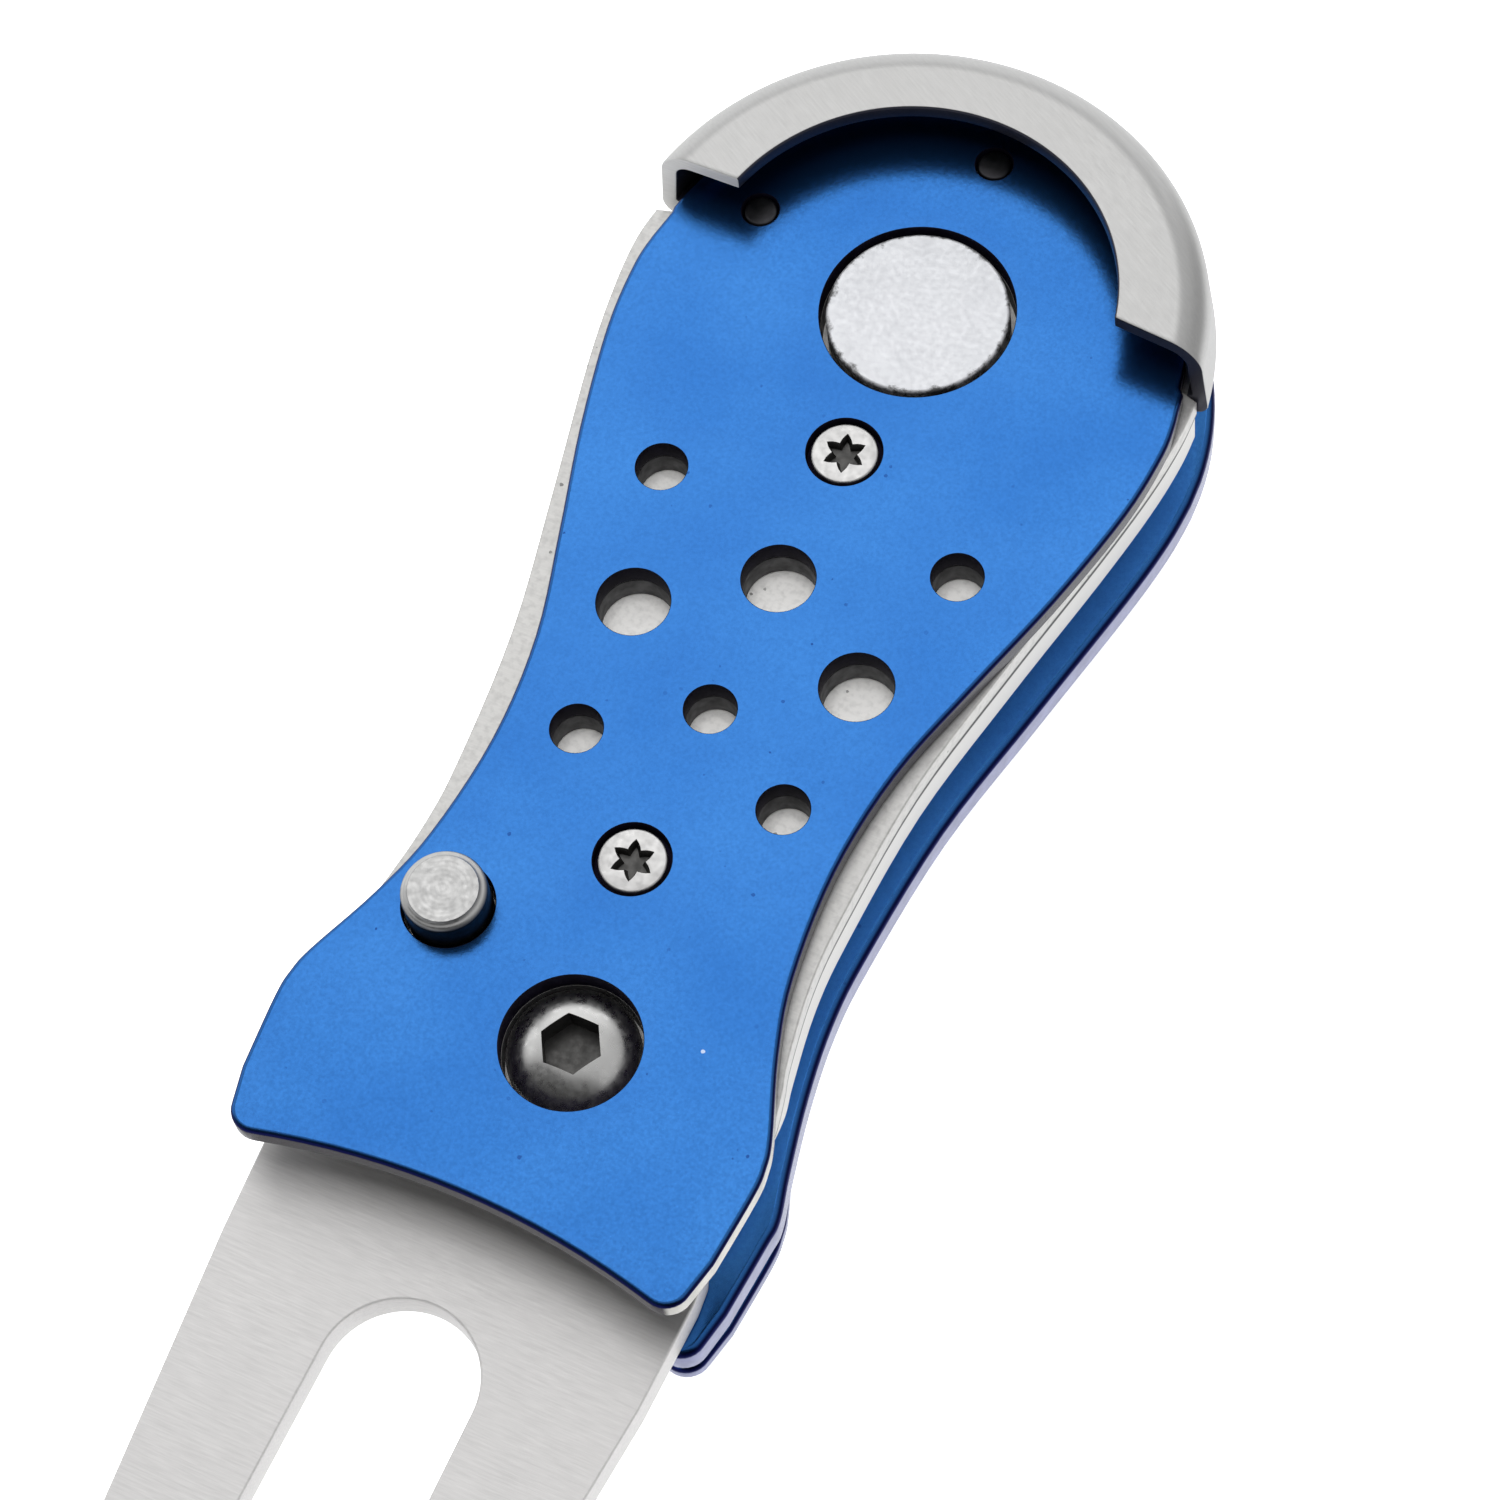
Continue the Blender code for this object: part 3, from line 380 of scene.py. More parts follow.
def hole(centre, radius, steps, low, high, flare_low=0.0, flare_high=0.0):
    """Cutter for a round hole whose mouths are slightly rounded."""
    layers = [(low - OVER, -flare_low)]
    if flare_low:
        layers += [(low, -flare_low), (low + MOUTH_BULGE * flare_low, -MOUTH_BULGE * flare_low),
                   (low + flare_low, 0.0)]
    if flare_high:
        layers += [(high - flare_high, 0.0), (high - MOUTH_BULGE * flare_high, -MOUTH_BULGE * flare_high),
                   (high, -flare_high)]
    layers.append((high + OVER, -flare_high))
    return (circle(centre, radius, steps), layers)


def pocket(centre, radius, steps, low, high):
    return (circle(centre, radius, steps), ((low, 0.0), (high, 0.0)))


def cut(node, tool):
    boolean = node.modifiers.new("Cut", "BOOLEAN")
    boolean.operation = "DIFFERENCE"
    boolean.solver = "EXACT"
    boolean.material_mode = "TRANSFER"
    boolean.object = tool
    bake(node)
    bpy.data.objects.remove(tool, do_unlink=True)


def bake(node):
    """Applies the modifiers."""
    bpy.context.view_layer.update()
    graph = bpy.context.evaluated_depsgraph_get()
    mesh = bpy.data.meshes.new_from_object(node.evaluated_get(graph))
    node.modifiers.clear()
    node.data = mesh
    return node


def smooth(node, degrees=32):
    node.data.shade_smooth()
    node.data.set_sharp_from_angle(angle=math.radians(degrees))
    weighted = node.modifiers.new("Normals", "WEIGHTED_NORMAL")
    weighted.weight = 100
    weighted.keep_sharp = True
    return bake(node)


def place(node, body, slot, *replaced):
    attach(node, body)
    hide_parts(*replaced)


def turned(name, centre, profile, steps, material):
    """Solid of revolution of (radius, z) points; a radius of 0 is on the axis."""
    shape = bmesh.new()
    rings = []
    for radius, z in profile:
        if radius < 1e-6:
            rings.append([shape.verts.new((centre[0] * MM, centre[1] * MM, z * MM))])
        else:
            ring = circle(centre, radius, steps)
            rings.append([shape.verts.new((x * MM, y * MM, z * MM)) for x, y in ring])
    for one, two in zip(rings, rings[1:]):
        join_rings(shape, one, two, steps)
    if len(rings[0]) > 1:
        join_rings(shape, rings[-1], rings[0], steps)
    bmesh.ops.recalc_face_normals(shape, faces=shape.faces)
    mesh = bpy.data.meshes.new(name)
    shape.to_mesh(mesh)
    shape.free()
    return link(name, mesh, material)


def join_rings(shape, one, two, steps):
    for i in range(steps):
        j = (i + 1) % steps
        if len(one) == 1 and len(two) == 1:
            return
        if len(one) == 1:
            shape.faces.new((one[0], two[j], two[i]))
        elif len(two) == 1:
            shape.faces.new((one[i], one[j], two[0]))
        else:
            shape.faces.new((one[i], one[j], two[j], two[i]))


def edge_arc(radius, z, size, steps=4):
    """Profile points of a rounded outer top edge, from the flat to the side."""
    return [(radius - size + size * math.sin(a), z - size + size * math.cos(a))
            for a in (0.5 * math.pi * i / steps for i in range(steps + 1))]


# ---------------------------------------------------------------- materials
NOISE_SPAN = (0.3, 0.7)
# Painted light: below this Y span, walls that face +X keep the light wall colour.
LIT_CORNER_FROM_Y = (-49.0, -45.0)
SPECK_STRENGTH = 0.75
SEAM_Z = 0.5 * (FRAME_Z[1] + FRONT_COVER_Z[0])
SEAM_HALF = 0.12
SEAM_FADE = (0.18, 0.34)
CHIP_DEPTH = 0.5
CHIP_SPAN = (-0.28, 0.02)


def darker(colour, factor):
    return tuple(factor * c for c in colour)


class Look:
    """Node material with short helpers."""

    def __init__(self, name, metallic, roughness):
        self.material = bpy.data.materials.new(name)
        self.material.use_nodes = True
        self.tree = self.material.node_tree
        self.shader = self.tree.nodes["Principled BSDF"]
        self.shader.inputs["Metallic"].default_value = metallic
        self.shader.inputs["Roughness"].default_value = roughness
        self.coordinates = self.node("ShaderNodeTexCoord")

    def node(self, kind, **values):
        made = self.tree.nodes.new(kind)
        for key, value in values.items():
            setattr(made, key, value)
        return made

    def link(self, source, target):
        self.tree.links.new(source, target)

    def drive(self, socket_name, value):
        """Feeds one of the shader's sockets."""
        self.link(value, self.shader.inputs[socket_name])

    def mapped(self, stretch, turn):
        """Object coordinates, turned about Z by degrees, then stretched."""
        turned_by = self.node("ShaderNodeMapping")
        turned_by.inputs["Rotation"].default_value = (0, 0, math.radians(turn))
        self.link(self.coordinates.outputs["Object"], turned_by.inputs["Vector"])
        scaled = self.node("ShaderNodeMapping")
        scaled.inputs["Scale"].default_value = stretch
        self.link(turned_by.outputs["Vector"], scaled.inputs["Vector"])
        return scaled.outputs["Vector"]

    def noise(self, scale, detail=2.0, rough=0.5, vector=None):
        made = self.node("ShaderNodeTexNoise")
        made.inputs["Scale"].default_value = scale
        made.inputs["Detail"].default_value = detail
        made.inputs["Roughness"].default_value = rough
        self.link(vector or self.coordinates.outputs["Object"], made.inputs["Vector"])
        return made.outputs["Fac"]

    def remap(self, value, low, high, to_low, to_high, smooth_step=False):
        made = self.node("ShaderNodeMapRange")
        if smooth_step:
            made.interpolation_type = "SMOOTHSTEP"
        for socket, number in zip(("From Min", "From Max", "To Min", "To Max"), (low, high, to_low, to_high)):
            made.inputs[socket].default_value = number
        self.link(value, made.inputs["Value"])
        return made.outputs["Result"]

    def spread(self, noise, to_low, to_high):
        """A noise, whose values mostly lie in NOISE_SPAN, stretched to a new range."""
        return self.remap(noise, *NOISE_SPAN, to_low, to_high)

    def math(self, operation, one, two):
        made = self.node("ShaderNodeMath", operation=operation)
        for socket, value in zip(made.inputs, (one, two)):
            if isinstance(value, (int, float)):
                socket.default_value = value
            else:
                self.link(value, socket)
        return made.outputs["Value"]

    def mix(self, factor, one, two):
        made = self.node("ShaderNodeMix", data_type="RGBA", blend_type="MIX")
        for socket, value in zip((made.inputs[0], made.inputs[6], made.inputs[7]), (factor, one, two)):
            if isinstance(value, tuple):
                socket.default_value = (*value, 1.0)
            else:
                self.link(value, socket)
        return made.outputs[2]

    def specks(self, scale, size, share, seed):
        """Scattered round specks: 1 inside a speck and 0 outside."""
        moved = self.node("ShaderNodeMapping")
        moved.inputs["Location"].default_value = (seed, seed * 0.7, seed * 0.3)
        self.link(self.coordinates.outputs["Object"], moved.inputs["Vector"])
        cells = self.node("ShaderNodeTexVoronoi")
        cells.inputs["Scale"].default_value = scale
        self.link(moved.outputs["Vector"], cells.inputs["Vector"])
        split = self.node("ShaderNodeSeparateColor")
        self.link(cells.outputs["Color"], split.inputs["Color"])
        chosen = self.math("LESS_THAN", split.outputs["Red"], share)
        reach = self.remap(split.outputs["Green"], 0.0, 1.0, 0.35 * size, size)
        wobble = self.math("MULTIPLY", self.noise(scale * 6, 1.0), 0.5 * size)
        near = self.math("LESS_THAN", self.math("ADD", cells.outputs["Distance"], wobble), reach)
        return self.math("MULTIPLY", chosen, near)

    def component(self, vector, axis):
        """X, Y or Z of the Object coordinates, in metres, or of the Normal."""
        split = self.node("ShaderNodeSeparateXYZ")
        self.link(self.coordinates.outputs[vector], split.inputs["Vector"])
        return split.outputs[axis]

    def up(self):
        """How much the surface faces up or down, from 0 on a wall to 1 on a flat."""
        made = self.node("ShaderNodeMath", operation="ABSOLUTE")
        self.link(self.component("Normal", "Z"), made.inputs[0])
        return made.outputs["Value"]

    def from_axis(self, centre):
        """Distance in metres from an upright axis, placed in millimetres."""
        flat = self.node("ShaderNodeVectorMath", operation="MULTIPLY")
        self.link(self.coordinates.outputs["Object"], flat.inputs[0])
        flat.inputs[1].default_value = (1, 1, 0)
        away = self.node("ShaderNodeVectorMath", operation="DISTANCE")
        self.link(flat.outputs["Vector"], away.inputs[0])
        away.inputs[1].default_value = (centre[0] * MM, centre[1] * MM, 0)
        return away.outputs["Value"]

    def bump(self, *heights):
        """Chained bumps of (height socket, strength, distance in mm)."""
        before = None
        for height, strength, distance in heights:
            made = self.node("ShaderNodeBump")
            made.inputs["Strength"].default_value = strength
            made.inputs["Distance"].default_value = distance * MM
            self.link(height, made.inputs["Height"])
            if before:
                self.link(before, made.inputs["Normal"])
            before = made.outputs["Normal"]
        self.drive("Normal", before)


def blue_face(look, cloud, grain):
    """Clouded blue with dark pits and a few pale ones."""
    face = look.mix(look.spread(cloud, 0.0, 1.0), (0.038, 0.182, 0.56), (0.052, 0.228, 0.64))
    face = look.mix(look.spread(grain, 0.0, 0.3), face, (0.03, 0.15, 0.47))
    dots = look.math("MULTIPLY", look.specks(1500, 0.26, 0.1, 1.3), look.remap(cloud, 0.42, 0.62, 0.3, 1.0))
    face = look.mix(look.math("MULTIPLY", dots, SPECK_STRENGTH), face, (0.01, 0.04, 0.22))
    return look.mix(look.specks(620, 0.1, 0.06, 5.1), face, (0.5, 0.58, 0.78))


def blue_look(name, wall_light, painted_wall_shade=None, underside=None):
    """Satin blue anodising with a navy line along each edge, a painted dark reflection, and walls of another
    colour.

    A dark wall colour paints the walls in painted shade and leaves wall_light only on the lit lower right
    corner, where the walls face +X.
    """
    look = Look(name, 0.97, 0.24)
    cloud = look.noise(110, 3.0)
    grain = look.noise(5200, 2.0)
    face = blue_face(look, cloud, grain)
    # Painted shade: faces that point down take the dark underside colour.
    if underside:
        face = look.mix(look.remap(look.component("Normal", "Z"), -0.6, -0.3, 1.0, 0.0), face, underside)
    wall = look.mix(look.spread(look.noise(900, 3.0), 0.0, 1.0), wall_light, darker(wall_light, 0.75))
    # Painted shade on the walls, except for a lit lower right corner whose walls face +X.
    if painted_wall_shade:
        start, end = (y * MM for y in LIT_CORNER_FROM_Y)
        lit_corner = look.math("MULTIPLY", look.remap(look.component("Object", "Y"), start, end, 1.0, 0.0),
                         look.remap(look.component("Normal", "X"), 0.3, 0.5, 0.0, 1.0))
        wall = look.mix(lit_corner, painted_wall_shade, wall)
    up = look.up()
    look.drive("Metallic", look.remap(up, 0.05, 0.3, 0.35, 0.97))
    # Painted dark reflection: the rounded band between face and wall is coloured navy.
    edge = look.mix(look.remap(up, 0.7, 0.995, 0.0, 1.0, True), (0.008, 0.012, 0.1), face)
    look.drive("Base Color", look.mix(look.remap(up, 0.05, 0.3, 0.0, 1.0, True), wall, edge))
    look.drive("Roughness", look.spread(grain, 0.19, 0.27))
    look.bump((grain, 0.16, 0.03), (cloud, 0.05, 0.05))
    return look.material


def steel_look(name, colour, turn, metallic, fine=1.0, roughness=(0.3, 0.42), pits=0.0, streak=0.35,
               seam=None, wall_metallic=None):
    """Brushed steel with its lines at an angle from the X axis. Its walls are dark at a seam's height."""
    look = Look(name, metallic, 0.36)
    along = look.mapped((1.0, 14.0, 14.0), -turn)
    lines = look.noise(520 * fine, 3.0, 0.65, along)
    lines_fine = look.noise(1300 * fine, 2.0, 0.6, along)
    base = look.mix(look.spread(lines, 0.0, streak * 1.4), colour, darker(colour, 0.8))
    base = look.mix(look.spread(look.noise(160, 3.0), 0.0, 0.35), base, darker(colour, 0.9))
    if pits:
        base = look.mix(look.specks(1500, 0.3, pits, 2.2), base, darker(colour, 0.35))
        base = look.mix(look.remap(look.noise(2600, 2.0), 0.45, 0.75, 0.0, 0.5), base, darker(colour, 0.62))
    if seam:
        below = look.math("SUBTRACT", look.component("Object", "Z"), seam * MM)
        away = look.math("ABSOLUTE", below, 0.0)
        close = look.remap(away, SEAM_FADE[0] * MM, SEAM_FADE[1] * MM, 1.0, 0.0)
        on_wall = look.remap(look.up(), 0.85, 0.99, 1.0, 0.0)
        if wall_metallic:
            base = look.mix(on_wall, base, darker(colour, 0.86))
            look.drive("Metallic", look.remap(look.up(), 0.3, 0.9, wall_metallic, metallic))
        base = look.mix(look.math("MULTIPLY", close, on_wall), base, (0.03, 0.03, 0.03))
    look.drive("Base Color", base)
    look.drive("Roughness", look.spread(lines_fine, *roughness))
    look.bump((lines, 0.12, 0.03), (lines_fine, 0.1, 0.02))
    return look.material


def wall_look(name, high, low, split_z):
    """Walls of the punched holes: one colour above the seam between two plates and one below it."""
    look = Look(name, 0.3, 0.6)
    look.shader.inputs["Specular IOR Level"].default_value = 0.1
    level = look.remap(look.component("Object", "Z"), (split_z - SEAM_HALF) * MM, (split_z + SEAM_HALF) * MM,
                       0.0, 1.0)
    base = look.mix(level, low, high)
    patchy = look.node("ShaderNodeVectorMath", operation="SCALE")
    look.link(base, patchy.inputs[0])
    look.link(look.spread(look.noise(1400, 3.0), 0.6, 1.3), patchy.inputs["Scale"])
    look.drive("Base Color", patchy.outputs["Vector"])
    look.bump((look.noise(1800, 2.0), 0.2, 0.05))
    return look.material


def bright_look(name, colour, roughness, dirt=0.2, side=1.0, rings=None):
    """Turned bright steel with some handling marks; a side factor below 1 darkens its sides as painted shade.

    Rings are faint turning marks: the axis and the width of one ring.
    """
    look = Look(name, 1.0, roughness)
    marks = look.remap(look.noise(700, 3.0), 0.35, 0.75, 0.0, dirt)
    base = look.mix(marks, colour, darker(colour, 0.55))
    # Painted shade: the sides are darkened by the side factor.
    look.drive("Base Color", look.mix(look.remap(look.up(), 0.2, 0.9, 0.0, 1.0), darker(colour, side), base))
    look.drive("Roughness", look.spread(look.noise(2400, 2.0), roughness * 0.8, roughness * 1.35))
    heights = [(look.noise(1900, 2.0), 0.004, 0.01)]
    if rings:
        axis, width = rings
        turns = look.math("MULTIPLY", look.from_axis(axis), 2 * math.pi / (width * MM))
        heights.append((look.math("SINE", turns, 0), 0.1, 0.02))
    look.bump(*heights)
    return look.material


def magnet_look():
    """Matt nickel plate, chipped round its rim."""
    look = Look("magnet_nickel", 0.7, 0.45)
    wander = look.remap(look.noise(900, 4.0, 0.7), 0.3, 0.8, -1.0, 1.0)
    ragged = look.math("ADD", look.from_axis((0.0, 0.0)), look.math("MULTIPLY", wander, CHIP_DEPTH * MM))
    start, end = ((MAGNET_RADIUS + x) * MM for x in CHIP_SPAN)
    chipped = look.remap(ragged, start, end, 0.0, 1.0)
    cloud = look.remap(look.noise(600, 4.0), 0.35, 0.7, 0.0, 0.6)
    plate = look.mix(cloud, (0.93, 0.94, 0.97), (0.82, 0.83, 0.86))
    plate = look.mix(look.specks(900, 0.2, 0.05, 3.3), plate, (0.3, 0.3, 0.31))
    look.drive("Base Color", look.mix(chipped, plate, (0.2, 0.2, 0.2)))
    look.drive("Roughness", look.spread(look.noise(3000, 2.0), 0.4, 0.55))
    look.bump((look.noise(1500, 3.0), 0.12, 0.04), (chipped, 0.4, -0.08))
    return look.material


def plain_metal(name, colour, roughness):
    look = Look(name, 1.0, roughness)
    cloud = look.noise(1200, 3.0)
    look.drive("Base Color", look.mix(look.spread(cloud, 0.0, 1.0), colour, darker(colour, 0.7)))
    look.drive("Roughness", look.spread(look.noise(3100, 2.0), roughness * 0.85, roughness * 1.2))
    look.bump((cloud, 0.1, 0.03))
    return look.material


# Its last two colours are painted shade: one for the walls and one for the underside.
blue = blue_look("anodised_blue_face", (0.72, 0.71, 0.66), (0.035, 0.033, 0.045), (0.03, 0.032, 0.045))
blue_back = blue_look("anodised_blue_back", (0.3, 0.32, 0.52))
blue_hole = wall_look("cover_hole_wall", (0.01, 0.008, 0.02), (0.15, 0.15, 0.153), SEAM_Z)
frame_steel = steel_look("frame_brushed", (0.76, 0.75, 0.73), 0.0, 0.6, pits=0.12, roughness=(0.34, 0.46),
                         seam=FRAME_Z[0])
arch_steel = steel_look("arch_brushed", (0.66, 0.655, 0.645), -30.0, 0.85)
liner_steel = steel_look("liner_sheet", (0.96, 0.95, 0.93), 0.0, 0.05, pits=0.3, roughness=(0.4, 0.5),
                         streak=0.15, seam=LINER_Z[1], wall_metallic=0.75)
blade_steel = steel_look("blade_brushed", (0.8, 0.785, 0.775), 0.0, 0.4, fine=0.9, roughness=(0.34, 0.46),
                         streak=0.55)
screw_head = bright_look("screw_bright", (0.78, 0.77, 0.76), 0.34)
dome_steel = bright_look("dome_steel", (0.95, 0.94, 0.92), 0.3, dirt=0.15)
# Painted shade: the button's and the flange's sides are nearly black.
cap_steel = bright_look("button_steel", (0.76, 0.755, 0.745), 0.4, dirt=0.1, side=0.07, rings=(BUTTON, 0.26))
# Painted light: a pale, nearly matt steel makes the arch's left end face look lit.
arch_lit_end = steel_look("arch_lit_end", (0.85, 0.845, 0.83), 0.0, 0.1, roughness=(0.4, 0.5))
# Painted shade: near-black steel on the arch's inside, the lip's underside and its right end.
arch_inside_shade = steel_look("arch_inside_shade", (0.075, 0.075, 0.1), -30.0, 0.7)
# Painted shade: a dark metal fills the screws' star and hex recesses.
socket_shade = plain_metal("socket_recess_shade", (0.17, 0.167, 0.162), 0.45)
pin_dark = plain_metal("pin_dark", (0.12, 0.12, 0.13), 0.42)
spring_wire = plain_metal("spring_wire", (0.45, 0.45, 0.46), 0.3)
bronze = plain_metal("washer_bronze", (0.5, 0.33, 0.15), 0.35)
nickel = magnet_look()


# ---------------------------------------------------------------- plates
def face_holes(layer, *mouths):
    large = [hole(c, LARGE_RADIUS, HOLE_STEPS, *layer, *mouths) for c in LARGE_HOLES]
    small = [hole(c, SMALL_RADIUS, SMALL_HOLE_STEPS, *layer, *mouths) for c in SMALL_HOLES]
    return large + small


def screw_shank_holes(layer):
    return [hole(c, SHANK_HOLE_RADIUS, HIDDEN_STEPS, *layer) for c in SCREWS.values()]


def rivet_holes(layer):
    return [hole(c, RIVET_HOLE_RADIUS, HIDDEN_STEPS, *layer) for c in RIVETS.values()]


def front_holes(layer, mouth, button_mouth):
    return [hole((0.0, 0.0), MAGNET_BORE_RADIUS, MAGNET_STEPS, *layer, 0.0, mouth),
            hole(PIVOT, PIVOT_RECESS_RADIUS, RECESS_STEPS, *layer, 0.0, mouth),
            hole(BUTTON, BUTTON_HOLE_RADIUS, BUTTON_STEPS, *layer, 0.0, button_mouth)]


def build_front_cover():
    low, high = FRONT_COVER_Z
    node = solid("front_cover_plate", [(cover_outline(), rounded(low, high, *COVER_EDGES, 5))], blue)
    holes = face_holes(FRONT_COVER_Z, 0.0, COVER_MOUTH)
    holes += front_holes(FRONT_COVER_Z, COVER_MOUTH, BUTTON_MOUTH)
    holes += [hole(c, RIVET_HOLE_RADIUS, PIN_STEPS, low, high, 0.0, SMALL_MOUTH) for c in RIVETS.values()]
    ledge = low + SCREW_LEDGE + OVER
    holes += [hole(c, SCREW_HOLE_RADIUS, HOLE_STEPS, ledge, high, 0.0, SMALL_MOUTH) for c in SCREWS.values()]
    cut(node, solid("tool", holes, blue_hole))
    cut(node, solid("tool", screw_shank_holes(FRONT_COVER_Z), blue_hole))
    place(smooth(node), "handle", "anodised_blue", "front_cover")


def build_frame():
    outline = steel_outline(FRAME_FLARE, 0.0, FRAME_IN_ARCH)
    node = solid("frame_plate", [(outline, rounded(*FRAME_Z, *STEEL_EDGES, 3))], frame_steel)
    holes = face_holes(FRAME_Z, 0.0, FRAME_MOUTH) + front_holes(FRAME_Z, 0.0, 0.0)
    holes += rivet_holes(FRAME_Z) + screw_shank_holes(FRAME_Z)
    cut(node, solid("tool", holes, blue_hole))
    place(smooth(node), "handle", "brushed_steel", "marker_frame")
    arch = build_arch()
    place(smooth(arch, 40), "handle", "brushed_steel", "marker_frame")


def arch_profile():
    foot_low, foot_high = FRAME_Z
    low_centre = (WALL_RADIUS_LOW - FOOT_BEND_RADIUS, foot_low + FOOT_BEND_RADIUS)
    high_centre = (WALL_RADIUS_HIGH - BEND_RADIUS, LIP_TOP_Z - BEND_RADIUS)
    outside = arc(low_centre, FOOT_BEND_RADIUS, -90.0, 0.0, 8) + arc(high_centre, BEND_RADIUS, 0.0, 90.0, 16)
    lip_low = LIP_TOP_Z - SHEET
    lip = [*arc((LIP_RADIUS + LIP_EDGE_HIGH, LIP_TOP_Z - LIP_EDGE_HIGH), LIP_EDGE_HIGH, 90.0, 180.0, 4),
           *arc((LIP_RADIUS + LIP_EDGE_LOW, lip_low + LIP_EDGE_LOW), LIP_EDGE_LOW, 180.0, 270.0, 3)]
    inside = arc(high_centre, BEND_RADIUS - SHEET, 90.0, 0.0, 8)
    inner = WALL_RADIUS_LOW - SHEET
    foot = [(inner, foot_high + FOOT_CHAMFER), (inner - FOOT_CHAMFER, foot_high),
            (inner - FOOT_REACH, foot_high), (inner - FOOT_REACH, foot_low)]
    return outside + lip + inside + foot


def arch_place(radius, part):
    """Point of the arch at a radius, from 0 at the right end to 1 at the left end."""
    on_lip = radius < LIP_RADIUS + 0.5 * (WALL_RADIUS_HIGH - LIP_RADIUS - BEND_RADIUS)
    centre = LIP_CENTRE if on_lip else ARCH
    across = (radius - LIP_RADIUS) / (WALL_RADIUS_LOW - LIP_RADIUS)
    right_y = ARCH_RIGHT_END_Y[0] + (ARCH_RIGHT_END_Y[1] - ARCH_RIGHT_END_Y[0]) * across
    start = math.degrees(math.asin((right_y - centre[1]) / radius))
    end = 180.0 - math.degrees(math.asin((ARCH_LEFT_END_Y - centre[1]) / radius))
    return polar(centre, radius, start + (end - start) * part)


ARCH_LOOKS = (arch_steel, arch_inside_shade, arch_lit_end)
# A face is on the inside where its place, measured from the arch's centre along its normal, is below -6 mm.
INWARD_REACH = 6.0


def arch_look_of(face):
    """Index in ARCH_LOOKS: 1, painted shade, on the inside, the underside of the lip and the right end; 2, a
    painted lit end, on the left end.
    """
    x, y, z = face.center
    across = face.normal.x * (x - ARCH[0] * MM) + face.normal.y * (y - ARCH[1] * MM)
    raised = z > FRONT_COVER_Z[1] * MM
    at_end = face.normal.y < -0.7
    if across < -INWARD_REACH * MM or (face.normal.z < -0.5 and raised) or (at_end and x > 0.0 and raised):
        return 1
    return 2 if at_end and x < 0.0 else 0


def build_arch():
    """The arch's cross-section swept along it, closed by a flat face at each end."""
    shape = bmesh.new()
    rings = []
    for i in range(ARCH_STEPS + 1):
        ring = []
        for radius, z in arch_profile():
            x, y = arch_place(radius, i / ARCH_STEPS)
            ring.append(shape.verts.new((x * MM, y * MM, z * MM)))
        rings.append(ring)
    shape.faces.new(rings[0])
    shape.faces.new(reversed(rings[-1]))
    for one, two in zip(rings, rings[1:]):
        for i in range(len(one)):
            j = (i + 1) % len(one)
            shape.faces.new((one[i], two[i], two[j], one[j]))
    bmesh.ops.recalc_face_normals(shape, faces=shape.faces)
    mesh = bpy.data.meshes.new("frame_arch")
    shape.to_mesh(mesh)
    shape.free()
    node = link("frame_arch", mesh, ARCH_LOOKS[0])
    for look in ARCH_LOOKS[1:]:
        mesh.materials.append(look)
    for face in mesh.polygons:
        face.material_index = arch_look_of(face)
    bevel = node.modifiers.new("Edge", "BEVEL")
    bevel.width = ARCH_EDGE * MM
    bevel.segments = 2
    bevel.limit_method = "ANGLE"
    bevel.angle_limit = math.radians(ARCH_EDGE_DEG)
    return bake(node)


def build_liner():
    outline = steel_outline(LINER_FLARE, LINER_INSET, LINER_IN_ARCH)
    node = solid("liner_plate", [(outline, rounded(*LINER_Z, *STEEL_EDGES, 3))], liner_steel)
    holes = screw_shank_holes(LINER_Z) + rivet_holes(LINER_Z)
    holes.append(hole(PIVOT, BARREL_HOLE_RADIUS, BARREL_STEPS, *LINER_Z))
    holes.append(hole(BUTTON, NECK_HOLE_RADIUS, PIN_STEPS, *LINER_Z))
    cut(node, solid("tool", holes, pin_dark))
    place(smooth(node), "handle", "brushed_steel", "inner_liner")


def build_back_plate():
    layers = rounded(*BACK_PLATE_Z, *BACK_PLATE_EDGES, 6)
    node = solid("back_plate_skin", [(back_outline(), layers)], blue_back)
    holes = screw_shank_holes(BACK_PLATE_Z) + rivet_holes(BACK_PLATE_Z)
    holes.append(hole(PIVOT, BARREL_HOLE_RADIUS, BARREL_STEPS, *BACK_PLATE_Z))
    holes.append(hole(BUTTON, SPRING_POCKET_RADIUS, POCKET_STEPS, *BACK_PLATE_Z))
    cut(node, solid("tool", holes, blue_hole))
    cut(node, solid("tool", [torsion_pocket()], blue_hole))
    place(smooth(node), "handle", "anodised_blue", "back_plate")


def torsion_pocket():
    """Round pocket of the torsion spring with a slot for its leg."""
    half = math.degrees(math.asin(TORSION_SLOT_HALF / TORSION_POCKET_RADIUS))
    first, last = TORSION_START_DEG + half, TORSION_START_DEG + 360.0 - half
    around = arc(PIVOT, TORSION_POCKET_RADIUS, first, last, TORSION_STEPS)
    along = polar((0.0, 0.0), TORSION_SLOT_END, TORSION_START_DEG)
    aside = polar((0.0, 0.0), TORSION_SLOT_HALF, TORSION_START_DEG + 90.0)
    right = (PIVOT[0] + along[0] - aside[0], PIVOT[1] + along[1] - aside[1])
    left = (PIVOT[0] + along[0] + aside[0], PIVOT[1] + along[1] + aside[1])
    return ([*around, right, left], ((TORSION_POCKET_FLOOR_Z, 0.0), (BACK_PLATE_Z[1] + OVER, 0.0)))


